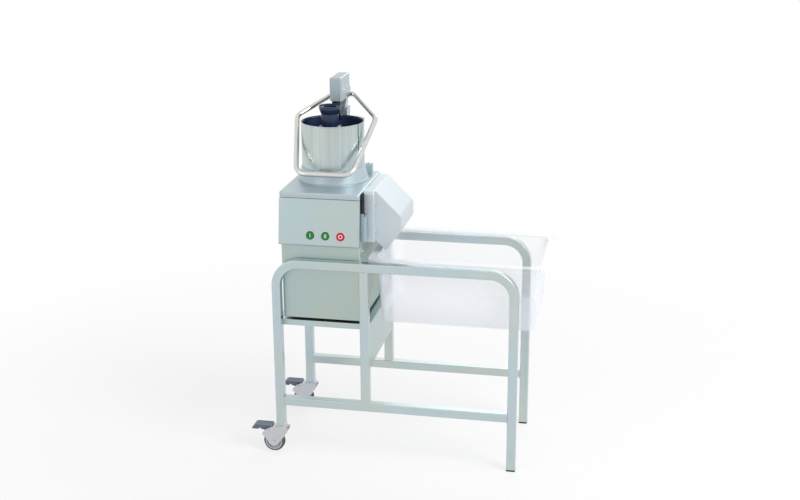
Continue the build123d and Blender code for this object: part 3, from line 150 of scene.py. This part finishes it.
def makeBrushedGroup(pattern):
    group, source, sink = makeGroup(
        "brushedGrain",
        [("Colour", "NodeSocketColor", (0.6, 0.62, 0.6, 1)), ("Stretch", "NodeSocketVector", (8, 8, 900)),
         ("Grain", "NodeSocketFloat", 0.12), ("Roughness", "NodeSocketFloat", 0.3),
         ("Marks", "NodeSocketFloat", 0.1)],
        [("Colour", "NodeSocketColor"), ("Roughness", "NodeSocketFloat"), ("Height", "NodeSocketFloat")],
    )
    given = source.outputs
    place = objectPlace(group)
    stretched = addNode(group, "ShaderNodeVectorMath", operation="MULTIPLY")
    feedAll(group, stretched, {0: place, 1: given["Stretch"]})
    fine = noiseNode(group, stretched.outputs[0], **pattern["fine"])
    broad = noiseNode(group, stretched.outputs[0], **pattern["broad"])
    grain = mathNode(group, "ADD", mathNode(group, "MULTIPLY", fine, pattern["fineShare"]),
                     mathNode(group, "MULTIPLY", broad, pattern["broadShare"]))
    marks = swing(group, noiseNode(group, place, **pattern["marks"]), given["Marks"])
    shade = mathNode(group, "ADD", mathNode(group, "ADD", 1.0, swing(group, grain, given["Grain"])), marks)
    drift = spread(group, noiseNode(group, place, **pattern["drift"]), *pattern["driftSpan"], 0.0, 1.0)
    tint = mixColours(group, drift, pattern["warm"], pattern["cool"])
    tinted = mixColours(group, 1.0, given["Colour"], tint, "MULTIPLY")
    rough = mathNode(group, "ADD", given["Roughness"], swing(group, grain, pattern["roughByGrain"]))
    marked = mathNode(group, "MULTIPLY", marks, pattern["roughByMarks"])
    feedAll(group, sink, {"Colour": scaleColour(group, tinted, shade), "Height": grain,
                          "Roughness": mathNode(group, "ADD", rough, marked, clamp=True)})
    return group


# Moulded or cast skin: fine even pebble with a slow cloudiness
skinPattern = {
    "pebble": {"detail": 2.0, "rough": 0.5}, "cloud": {"scale": 7.0, "detail": 3.0, "rough": 0.55},
    "speck": 0.06, "roughByCloud": 0.9,
}


def makeSkinGroup(pattern):
    group, source, sink = makeGroup(
        "fineSkin",
        [("Colour", "NodeSocketColor", (0.5, 0.5, 0.5, 1)), ("Pebble Scale", "NodeSocketFloat", 900.0),
         ("Cloud", "NodeSocketFloat", 0.06), ("Roughness", "NodeSocketFloat", 0.45)],
        [("Colour", "NodeSocketColor"), ("Roughness", "NodeSocketFloat"), ("Height", "NodeSocketFloat")],
    )
    given = source.outputs
    place = objectPlace(group)
    pebble = noiseNode(group, place, scale=given["Pebble Scale"], **pattern["pebble"])
    cloud = swing(group, noiseNode(group, place, **pattern["cloud"]), given["Cloud"])
    speck = swing(group, pebble, pattern["speck"])
    shade = mathNode(group, "ADD", mathNode(group, "ADD", 1.0, cloud), speck)
    clouded = mathNode(group, "MULTIPLY", cloud, pattern["roughByCloud"])
    feedAll(group, sink, {"Colour": scaleColour(group, given["Colour"], shade), "Height": pebble,
                          "Roughness": mathNode(group, "ADD", given["Roughness"], clouded, clamp=True)})
    return group


# Soil: faint darkening in blotches, stronger low down, as on a used machine
soilPattern = {
    "blotch": {"scale": 22.0, "detail": 4.0, "rough": 0.6}, "blotchSpan": (0.42, 0.7),
    "lowShare": 1.0, "highShare": 0.25, "dirt": (0.16, 0.15, 0.13),
}


def makeSoilGroup(pattern):
    group, source, sink = makeGroup(
        "kitchenSoil",
        [("Colour", "NodeSocketColor", (0.5, 0.5, 0.5, 1)), ("Amount", "NodeSocketFloat", 0.1),
         ("Low", "NodeSocketFloat", 0.0), ("High", "NodeSocketFloat", 0.25)],
        [("Colour", "NodeSocketColor")],
    )
    given = source.outputs
    place = objectPlace(group)
    apart = addNode(group, "ShaderNodeSeparateXYZ")
    feed(group, apart.inputs[0], place)
    shares = (pattern["lowShare"], pattern["highShare"])
    height = spread(group, apart.outputs["Z"], given["Low"], given["High"], *shares)
    blotch = spread(group, noiseNode(group, place, **pattern["blotch"]), *pattern["blotchSpan"], 0.0, 1.0)
    mask = mathNode(group, "MULTIPLY", mathNode(group, "MULTIPLY", height, blotch), given["Amount"])
    feed(group, sink.inputs["Colour"], mixColours(group, mask, given["Colour"], pattern["dirt"]))
    return group


brushedGroup = makeBrushedGroup(grainPattern)
skinGroup = makeSkinGroup(skinPattern)
soilGroup = makeSoilGroup(soilPattern)
print("shader groups built")


def startMaterial(name):
    material = bpy.data.materials.new(name)
    material.use_nodes = True
    tree = material.node_tree
    return material, tree, tree.nodes["Principled BSDF"]


def placeGroup(tree, group, **values):
    node = addNode(tree, "ShaderNodeGroup", node_tree=group)
    feedAll(tree, node, {label.replace("_", " "): value for label, value in values.items()})
    return node.outputs


def bumpFrom(tree, shader, height, strength, depth):
    bump = addNode(tree, "ShaderNodeBump")
    feedAll(tree, bump, {"Strength": strength, "Distance": depth, "Height": height})
    feed(tree, shader.inputs["Normal"], bump.outputs[0])


def soilOver(tree, shader, colour, amount):
    soil = placeGroup(tree, soilGroup, Colour=colour, Amount=amount)
    feed(tree, shader.inputs["Base Color"], soil["Colour"])


# What all the steels share
steelCommon = {"soil": 0.05, "bump": 0.12, "bumpDepth": 0.0004, "metallic": 1.0}


def placeGrain(tree, values):
    return placeGroup(tree, brushedGroup, Colour=values["colour"], Stretch=values["stretch"],
                      Grain=values["grain"], Roughness=values["roughness"], Marks=values["marks"])


def brushedMetal(name, values):
    material, tree, shader = startMaterial(name)
    grain = placeGrain(tree, values)
    soilOver(tree, shader, grain["Colour"], steelCommon["soil"])
    feed(tree, shader.inputs["Roughness"], grain["Roughness"])
    bumpFrom(tree, shader, grain["Height"], steelCommon["bump"], steelCommon["bumpDepth"])
    shader.inputs["Metallic"].default_value = steelCommon["metallic"]
    return material


# What a moulded or cast skin has where its own values don't say otherwise
skinCommon = {
    "pebble": 900.0, "soil": 0.04, "bump": 0.15, "bumpDepth": 0.0003,
    "metallic": 0.0, "coat": 0.0, "shine": 0.5,
}


def skinnedMaterial(name, ownValues):
    values = {**skinCommon, **ownValues}
    material, tree, shader = startMaterial(name)
    skin = placeGroup(tree, skinGroup, Colour=values["colour"], Pebble_Scale=values["pebble"],
                      Cloud=values["cloud"], Roughness=values["roughness"])
    soilOver(tree, shader, skin["Colour"], values["soil"])
    feed(tree, shader.inputs["Roughness"], skin["Roughness"])
    bumpFrom(tree, shader, skin["Height"], values["bump"], values["bumpDepth"])
    shader.inputs["Metallic"].default_value = values["metallic"]
    shader.inputs["Coat Weight"].default_value = values["coat"]
    shader.inputs["Specular IOR Level"].default_value = values["shine"]
    return material


# Finishes of the stand, the machine and the small parts
steelValues = {
    "railSteel": {"colour": (0.53, 0.615, 0.62), "stretch": (6, 700, 700),
                  "grain": 0.26, "roughness": 0.34, "marks": 0.12},
    "postSteel": {"colour": (0.53, 0.615, 0.62), "stretch": (700, 700, 6),
                  "grain": 0.26, "roughness": 0.34, "marks": 0.12},
    "shelfSteel": {"colour": (0.50, 0.58, 0.58), "stretch": (8, 500, 500),
                   "grain": 0.14, "roughness": 0.36, "marks": 0.12},
    "housingSteel": {"colour": (0.455, 0.54, 0.508), "stretch": (8, 500, 900),
                     "grain": 0.12, "roughness": 0.42, "marks": 0.10},
    "panelSteel": {"colour": (0.475, 0.553, 0.546), "stretch": (8, 500, 900),
                   "grain": 0.10, "roughness": 0.40, "marks": 0.08},
    "hopperSteel": {"colour": (0.49, 0.565, 0.568), "stretch": (75, 75, 1.6),
                    "grain": 0.85, "roughness": 0.33, "marks": 0.10},
    "handleSteel": {"colour": (0.66, 0.665, 0.64), "stretch": (300, 300, 300),
                    "grain": 0.05, "roughness": 0.14, "marks": 0.06},
    "machinedSteel": {"colour": (0.48, 0.49, 0.50), "stretch": (300, 300, 300),
                      "grain": 0.08, "roughness": 0.30, "marks": 0.08},
    "zincSteel": {"colour": (0.60, 0.61, 0.62), "stretch": (200, 200, 200),
                  "grain": 0.16, "roughness": 0.36, "marks": 0.25},
}
skinValues = {
    "castHead": {"colour": (0.46, 0.545, 0.585), "roughness": 0.38,
                 "cloud": 0.08, "metallic": 0.55, "pebble": 1200.0},
    "castChute": {"colour": (0.59, 0.655, 0.69), "roughness": 0.40,
                  "cloud": 0.06, "metallic": 0.45, "pebble": 1200.0},
    "coverPaint": {"colour": (0.39, 0.465, 0.505), "roughness": 0.35, "cloud": 0.06, "metallic": 0.35},
    "navyPlastic": {"colour": (0.006, 0.018, 0.064), "roughness": 0.34,
                    "cloud": 0.10, "pebble": 1400.0, "coat": 0.15},
    "linerPlastic": {"colour": (0.034, 0.062, 0.140), "roughness": 0.30, "cloud": 0.10, "pebble": 1400.0},
    # Black plastic of the switches, gland and latch; on the latch this near-black, low-shine colour is also
    # painted shade for the dark slot between the head and the chute collar
    "blackPlasticAndSlotShade": {"colour": (0.006, 0.008, 0.012), "roughness": 0.62,
                     "cloud": 0.08, "pebble": 1100.0, "shine": 0.2},
    "armEnamel": {"colour": (0.008, 0.010, 0.018), "roughness": 0.40,
                  "cloud": 0.10, "pebble": 1000.0, "shine": 0.35},
    "bracketPaint": {"colour": (0.35, 0.455, 0.505), "roughness": 0.42, "cloud": 0.06, "metallic": 0.3},
    "capRubber": {"colour": (0.022, 0.022, 0.024), "roughness": 0.62,
                  "cloud": 0.12, "pebble": 700.0, "bump": 0.3},
    "tyreRubber": {"colour": (0.060, 0.064, 0.070), "roughness": 0.58,
                   "cloud": 0.15, "pebble": 600.0, "bump": 0.3, "soil": 0.25},
    "wheelPlastic": {"colour": (0.46, 0.48, 0.52), "roughness": 0.40, "cloud": 0.08},
    "pedalPlastic": {"colour": (0.11, 0.14, 0.20), "roughness": 0.40, "cloud": 0.08},
    "greenPlastic": {"colour": (0.004, 0.19, 0.028), "roughness": 0.34,
                     "cloud": 0.06, "coat": 0.08, "shine": 0.25},
    "redPlastic": {"colour": (0.52, 0.010, 0.028), "roughness": 0.34,
                   "cloud": 0.06, "coat": 0.08, "shine": 0.25},
    "ringPlastic": {"colour": (0.62, 0.64, 0.64), "roughness": 0.35, "cloud": 0.05},
    "signWhite": {"colour": (0.85, 0.86, 0.84), "roughness": 0.4, "cloud": 0.03},
    "motorEnamel": {"colour": (0.10, 0.11, 0.13), "roughness": 0.4, "cloud": 0.08},
    "castIron": {"colour": (0.12, 0.12, 0.13), "roughness": 0.5, "cloud": 0.10, "metallic": 0.6},
}
materials = {name: brushedMetal(name, values) for name, values in steelValues.items()}
materials.update({name: skinnedMaterial(name, values) for name, values in skinValues.items()})

# Bent frame tubes: the scratches run along the rail on top and along the legs at both ends
frameValues = {"legFrom": 0.372, "legTo": 0.392, "soil": 0.06}


def makeFrameSteel(values):
    material, tree, shader = startMaterial("frameSteel")
    rail = placeGrain(tree, steelValues["railSteel"])
    post = placeGrain(tree, steelValues["postSteel"])
    apart = addNode(tree, "ShaderNodeSeparateXYZ")
    feed(tree, apart.inputs[0], objectPlace(tree))
    fromMiddle = mathNode(tree, "ABSOLUTE", apart.outputs["X"])
    leg = spread(tree, fromMiddle, values["legFrom"], values["legTo"], 0.0, 1.0)
    soilOver(tree, shader, mixColours(tree, leg, rail["Colour"], post["Colour"]), values["soil"])
    mixed = {}
    for label in ("Roughness", "Height"):
        blend = addNode(tree, "ShaderNodeMix")
        feedAll(tree, blend, {0: leg, 2: rail[label], 3: post[label]})
        mixed[label] = blend.outputs[0]
    feed(tree, shader.inputs["Roughness"], mixed["Roughness"])
    bumpFrom(tree, shader, mixed["Height"], steelCommon["bump"], steelCommon["bumpDepth"])
    shader.inputs["Metallic"].default_value = steelCommon["metallic"]
    return material


materials["frameSteel"] = makeFrameSteel(frameValues)

# Container: milky see-through plastic, denser where the wall is seen edge on
containerValues = {
    "colour": (0.88, 0.91, 0.96), "roughness": 0.28, "pebble": 500.0, "cloud": 0.05, "bump": 0.08,
    "bumpDepth": 0.0003, "shine": 0.4, "edge": 0.32, "thin": 0.13, "dense": 0.62,
}


def makeContainerPlastic(values):
    material, tree, shader = startMaterial("containerPlastic")
    skin = placeGroup(tree, skinGroup, Colour=values["colour"], Pebble_Scale=values["pebble"],
                      Cloud=values["cloud"], Roughness=values["roughness"])
    feed(tree, shader.inputs["Base Color"], skin["Colour"])
    feed(tree, shader.inputs["Roughness"], skin["Roughness"])
    bumpFrom(tree, shader, skin["Height"], values["bump"], values["bumpDepth"])
    edge = addNode(tree, "ShaderNodeLayerWeight")
    edge.inputs["Blend"].default_value = values["edge"]
    seen = spread(tree, edge.outputs["Facing"], 0.0, 1.0, values["thin"], values["dense"])
    feed(tree, shader.inputs["Alpha"], seen)
    shader.inputs["Specular IOR Level"].default_value = values["shine"]
    material.use_transparency_overlap = True
    return material


materials["containerPlastic"] = makeContainerPlastic(containerValues)
print("materials made:", len(materials))

# Which finish each modelled node takes
finishOf = {
    "frameSteel": ["frame_front", "frame_back"],
    "railSteel": ["lower_rails"],
    "postSteel": ["mid_posts"],
    "shelfSteel": ["machine_shelf"],
    "housingSteel": ["motor_housing", "housing_base"],
    "panelSteel": ["control_panel"],
    "castHead": ["bowl_casting", "lid", "lever_column", "hopper_flange", "hopper_clamps", "ejector_disc"],
    "castChute": ["chute_collar", "chute_hood"],
    "hopperSteel": ["hopper_shell", "slicing_disc"],
    "handleSteel": ["lever_handle"],
    "armEnamel": ["lever_arms"],
    "machinedSteel": ["lever_pins", "lever_plates", "spindle", "spindle_bearing", "motor_rotor",
                      "motor_mount"],
    "coverPaint": ["lever_cover"],
    "navyPlastic": ["pusher_piston", "pusher_tube", "pusher_yoke", "hand_pusher"],
    "linerPlastic": ["hopper_liner"],
    # The latch's near-black colour is partly painted shade for the slot beside the chute collar
    "blackPlasticAndSlotShade": ["lid_latch", "button_switches", "cable_gland"],
    "bracketPaint": ["latch_bracket"],
    "capRubber": ["foot_caps", "machine_feet", "drive_belt"],
    "zincSteel": ["castor_heads", "castor_front_fork", "castor_back_fork"],
    "pedalPlastic": ["castor_front_pedal", "castor_back_pedal"],
    "wheelPlastic": ["castor_front_wheel", "castor_back_wheel"],
    "tyreRubber": ["castor_front_tyre", "castor_back_tyre"],
    "ringPlastic": ["button_bezels"],
    "greenPlastic": ["button_one", "button_two"],
    "redPlastic": ["button_stop"],
    "motorEnamel": ["motor_stator"],
    "castIron": ["motor_pulley", "spindle_pulley"],
    "containerPlastic": ["bin"],
}
for finish, names in finishOf.items():
    for name in names:
        mesh = nodes[name].data
        mesh.materials.clear()
        mesh.materials.append(materials[finish])
print("finishes given to", sum(len(names) for names in finishOf.values()), "nodes")


# Mesh helpers for the added pieces
def linkPiece(name, builder, finish, body, smooth=True):
    mesh = bpy.data.meshes.new(name)
    builder.to_mesh(mesh)
    builder.free()
    for face in mesh.polygons:
        face.use_smooth = smooth
    piece = bpy.data.objects.new(name, mesh)
    bpy.context.scene.collection.objects.link(piece)
    mesh.materials.append(materials[finish])
    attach(piece, body)


def joinRings(builder, lower, upper):
    for step in range(max(len(lower), len(upper))):
        after = (step + 1) % max(len(lower), len(upper))
        if len(lower) == 1:
            builder.faces.new((lower[0], upper[after], upper[step]))
        elif len(upper) == 1:
            builder.faces.new((lower[step], lower[after], upper[0]))
        else:
            builder.faces.new((lower[step], lower[after], upper[after], upper[step]))


# The profile is a list of (distance along facing, radius), and a radius of 0 closes to a point
def turnedRings(builder, profile, place, facing, steps):
    spin = Vector((0, 0, 1)).rotation_difference(Vector(facing)).to_matrix()
    rings = []
    for along, radius in profile:
        angles = [2 * pi * step / steps for step in range(steps)] if radius > 0 else [0.0]
        points = [Vector((radius * cos(angle), radius * sin(angle), along)) for angle in angles]
        rings.append([builder.verts.new(Vector(place) + spin @ point) for point in points])
    for lower, upper in zip(rings, rings[1:]):
        joinRings(builder, lower, upper)


# Domed screws with a round socket; the dome is (share of the rise, share of the head's radius)
screwValues = {
    "head": 0.0055, "rise": 0.0028, "dome": ((0.45, 1.0), (0.85, 0.82), (1.0, 0.55)), "socket": 0.0024,
    "taper": 0.96, "sink": 0.0016, "seated": 0.0005, "steps": 18,
}


def addScrew(builder, place, facing, values):
    head, rise, socket = values["head"], values["rise"], values["socket"]
    floor = rise - values["sink"]
    profile = [(-values["seated"], head)] + [(rise * up, head * out) for up, out in values["dome"]]
    profile += [(rise, socket), (floor, socket * values["taper"]), (floor, 0)]
    turnedRings(builder, profile, place, facing, values["steps"])


# Screws in from the edges of the piece that they hold
screwInsets = {
    "housing": {"side": 0.018, "back": 0.016, "low": 0.019, "high": 0.037},
    "cover": {"front": 0.033, "back": 0.040, "low": 0.035},
    "clamps": {"side": 0.012},
    "collar": {"side": 0.012, "low": 0.032, "high": 0.042},
}


def housingSpots(inset):
    low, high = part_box("motor_housing")
    heights = (low[2] + inset["low"], high[2] - inset["high"])
    ys = (low[1] + inset["side"], high[1] - inset["side"])
    xs = (low[0] + inset["back"], high[0] - inset["back"])
    right = [((high[0], y, z), (1, 0, 0)) for y in ys for z in heights]
    left = [((low[0], y, z), (-1, 0, 0)) for y in ys for z in heights]
    back = [((x, high[1], z), (0, 1, 0)) for x in xs for z in heights]
    return right + left + back


def coverSpots(inset):
    low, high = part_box("lever_cover")
    z = low[2] + inset["low"]
    ys = (low[1] + inset["front"], high[1] - inset["back"])
    return [((x, y, z), (side, 0, 0)) for x, side in ((low[0], -1), (high[0], 1)) for y in ys]


def clampSpots(inset):
    low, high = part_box("hopper_clamps")
    middle = (low[1] + high[1]) / 2
    return [((x, middle, high[2]), (0, 0, 1)) for x in (low[0] + inset["side"], high[0] - inset["side"])]


def collarSpots(inset):
    low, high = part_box("chute_collar")
    ys = (low[1] + inset["side"], high[1] - inset["side"])
    heights = (low[2] + inset["low"], high[2] - inset["high"])
    return [((high[0], y, z), (1, 0, 0)) for y in ys for z in heights]


screwPlaces = {
    "housingScrews": ("stand", housingSpots(screwInsets["housing"])),
    "coverScrews": ("lever", coverSpots(screwInsets["cover"])),
    "clampScrews": ("cover", clampSpots(screwInsets["clamps"])),
    "collarScrews": ("stand", collarSpots(screwInsets["collar"])),
}
for name, (body, places) in screwPlaces.items():
    screwBuilder = bmesh.new()
    for place, facing in places:
        addScrew(screwBuilder, place, facing, screwValues)
    linkPiece(name, screwBuilder, "zincSteel", body)
print("screws added")

# Signs on the push buttons: one bar, two bars and a ring, on caps that lean with the panel
buttonOfBody = {"start_one": "button_one", "start_two": "button_two", "stop": "button_stop"}
capValues = {"lean": 8.6375, "panelY": -0.19938, "height": 0.803, "rise": 0.004}
signValues = {
    "proud": 0.0003, "bar": 0.0022, "tall": 0.0125, "apart": 0.0050,
    "ring": 0.0072, "stroke": 0.0024, "seated": 0.0005, "steps": 32,
}
lean = radians(capValues["lean"])
capOutward = Vector((0, -cos(lean), sin(lean)))
capUpward = Vector((0, sin(lean), cos(lean)))


def signPlace(button):
    low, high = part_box(button)
    panelPoint = Vector(((low[0] + high[0]) / 2, capValues["panelY"], capValues["height"]))
    return panelPoint + capOutward * (capValues["rise"] + signValues["proud"])


def addBar(builder, place, shift, values):
    half, tall, thick = values["bar"] / 2, values["tall"] / 2, values["proud"] * 2
    corners = []
    for depth in (0, -thick):
        for across, along in ((-half, -tall), (half, -tall), (half, tall), (-half, tall)):
            corner = place + Vector((across + shift, 0, 0)) + capUpward * along + capOutward * depth
            corners.append(builder.verts.new(corner))
    builder.faces.new(corners[:4])
    builder.faces.new(corners[7:3:-1])
    for step in range(4):
        after = (step + 1) % 4
        builder.faces.new((corners[step], corners[step + 4], corners[after + 4], corners[after]))


def addRing(builder, place, values):
    outer, inner, under = values["ring"], values["ring"] - values["stroke"], -values["seated"]
    profile = [(under, inner), (0, inner), (0, outer), (under, outer)]
    turnedRings(builder, profile, place, capOutward, values["steps"])


halfApart = signValues["apart"] / 2
barShifts = {"start_one": (0,), "start_two": (-halfApart, halfApart), "stop": ()}
for body, button in buttonOfBody.items():
    signBuilder = bmesh.new()
    for shift in barShifts[body]:
        addBar(signBuilder, signPlace(button), shift, signValues)
    if body == "stop":
        addRing(signBuilder, signPlace(button), signValues)
    linkPiece(body + "Sign", signBuilder, "signWhite", body, smooth=False)
print("button signs added")

# Weld beads where the straight tubes meet the frames; steps are for each side of a tube
weldValues = {
    "bead": 0.0017, "half": 0.0150, "steps": 28, "sides": 6,
    "ripple": 0.22, "ripplePace": 2.1, "swell": 0.1, "swellPace": 0.7,
}


def addBead(builder, centre, across, along, facing, values):
    steps, sides = values["steps"], values["sides"]
    across, along, facing = Vector(across), Vector(along), Vector(facing)
    corners = [(-1, -1), (1, -1), (1, 1), (-1, 1)]
    route = []
    for (a, b), (nextA, nextB) in zip(corners, corners[1:] + corners[:1]):
        route += [(a + (nextA - a) * step / steps, b + (nextB - b) * step / steps) for step in range(steps)]
    rings = []
    for index, (a, b) in enumerate(route):
        ripple = values["ripple"] * sin(index * values["ripplePace"])
        thick = values["bead"] * (1 + ripple + values["swell"] * sin(index * values["swellPace"]))
        spoke = across * a + along * b
        middle = Vector(centre) + spoke * values["half"]
        outward = spoke.normalized()
        angles = [2 * pi * side / sides for side in range(sides)]
        points = [outward * cos(angle) + facing * sin(angle) for angle in angles]
        rings.append([builder.verts.new(middle + point * thick) for point in points])
    for ring, following in zip(rings, rings[1:] + rings[:1]):
        for side in range(sides):
            after = (side + 1) % sides
            builder.faces.new((ring[side], following[side], following[after], ring[after]))


lengthwise, sideways, upward = (1, 0, 0), (0, 1, 0), (0, 0, 1)
railLow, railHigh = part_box("lower_rails")
postLow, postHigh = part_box("mid_posts")
railHeight = (railLow[2] + railHigh[2]) / 2
postMiddle = (postLow[0] + postHigh[0]) / 2
weldBuilder = bmesh.new()
for name in ("frame_front", "frame_back"):
    tubeLow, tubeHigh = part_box(name)
    y = (tubeLow[1] + tubeHigh[1]) / 2
    addBead(weldBuilder, (railLow[0], y, railHeight), sideways, upward, (1, 0, 0), weldValues)
    addBead(weldBuilder, (railHigh[0], y, railHeight), sideways, upward, (-1, 0, 0), weldValues)
    addBead(weldBuilder, (postMiddle, y, postLow[2]), lengthwise, sideways, (0, 0, 1), weldValues)
    addBead(weldBuilder, (postMiddle, y, postHigh[2]), lengthwise, sideways, (0, 0, -1), weldValues)
linkPiece("weldBeads", weldBuilder, "zincSteel", "stand")
print("weld beads added")

# White floor and sky: the floor shows more of the plain white away from the machine
floorValues = {
    "colour": (0.86, 0.86, 0.86), "roughness": 0.9, "shine": 0.1, "half": 9.0, "under": 0.0006,
    "whiteNear": 0.70, "whiteFar": 1.0, "fade": (0.9, 2.4),
}
skyValues = {"light": 0.62, "seen": 1.0}
lampValues = {
    "keyLamp": {"place": (3.2, -1.6, 3.4), "aim": (-0.1, 0, 0.7), "size": (2.0, 2.0), "power": 112.0},
    "fillLamp": {"place": (-2.6, -3.4, 2.2), "aim": (0, 0, 0.7), "size": (2.4, 2.4), "power": 14.0},
    "rimLamp": {"place": (0.5, 3.4, 3.0), "aim": (0, 0, 0.8), "size": (2.6, 1.4), "power": 34.0},
}
plainWhite = (1.0, 1.0, 1.0)


# One where the eye, a reflection or clear plastic looks straight at the backdrop
def seenDirectly(tree):
    path = addNode(tree, "ShaderNodeLightPath")
    direct = mathNode(tree, "MAXIMUM", path.outputs["Is Camera Ray"], path.outputs["Is Transmission Ray"])
    return mathNode(tree, "MAXIMUM", direct, path.outputs["Is Glossy Ray"])


def floorMaterial(values):
    material, tree, shader = startMaterial("studioFloor")
    shader.inputs["Base Color"].default_value = (*values["colour"], 1)
    shader.inputs["Roughness"].default_value = values["roughness"]
    shader.inputs["Specular IOR Level"].default_value = values["shine"]
    white = addNode(tree, "ShaderNodeEmission")
    feed(tree, white.inputs["Color"], plainWhite)
    away = addNode(tree, "ShaderNodeVectorMath", operation="LENGTH")
    feed(tree, away.inputs[0], objectPlace(tree))
    share = spread(tree, away.outputs["Value"], *values["fade"], values["whiteNear"], values["whiteFar"])
    blend = addNode(tree, "ShaderNodeMixShader")
    amount = mathNode(tree, "MULTIPLY", seenDirectly(tree), share)
    feedAll(tree, blend, {0: amount, 1: shader.outputs[0], 2: white.outputs[0]})
    feed(tree, tree.nodes["Material Output"].inputs["Surface"], blend.outputs[0])
    return material


def makeFloor(values):
    half = values["half"]
    builder = bmesh.new()
    corners = ((-half, -half), (half, -half), (half, half), (-half, half))
    builder.faces.new([builder.verts.new((x, y, -values["under"])) for x, y in corners])
    mesh = bpy.data.meshes.new("studioFloor")
    builder.to_mesh(mesh)
    builder.free()
    floor = bpy.data.objects.new("studioFloor", mesh)
    bpy.context.scene.collection.objects.link(floor)
    mesh.materials.append(floorMaterial(values))


def makeSky(values):
    world = bpy.data.worlds.new("studioSky")
    bpy.context.scene.world = world
    world.use_nodes = True
    tree = world.node_tree
    background = tree.nodes["Background"]
    feed(tree, background.inputs["Color"], plainWhite)
    strength = spread(tree, seenDirectly(tree), 0.0, 1.0, values["light"], values["seen"])
    feed(tree, background.inputs["Strength"], strength)


def makeLamp(name, values):
    lamp = bpy.data.lights.new(name, "AREA")
    lamp.shape = "RECTANGLE"
    lamp.size, lamp.size_y = values["size"]
    lamp.energy = values["power"]
    holder = bpy.data.objects.new(name, lamp)
    bpy.context.scene.collection.objects.link(holder)
    holder.location = values["place"]
    toward = Vector(values["aim"]) - Vector(values["place"])
    holder.rotation_euler = toward.to_track_quat("-Z", "Y").to_euler()


makeFloor(floorValues)
makeSky(skyValues)
for name, values in lampValues.items():
    makeLamp(name, values)
bpy.context.scene.view_settings.view_transform = "Standard"
print("floor and light set")
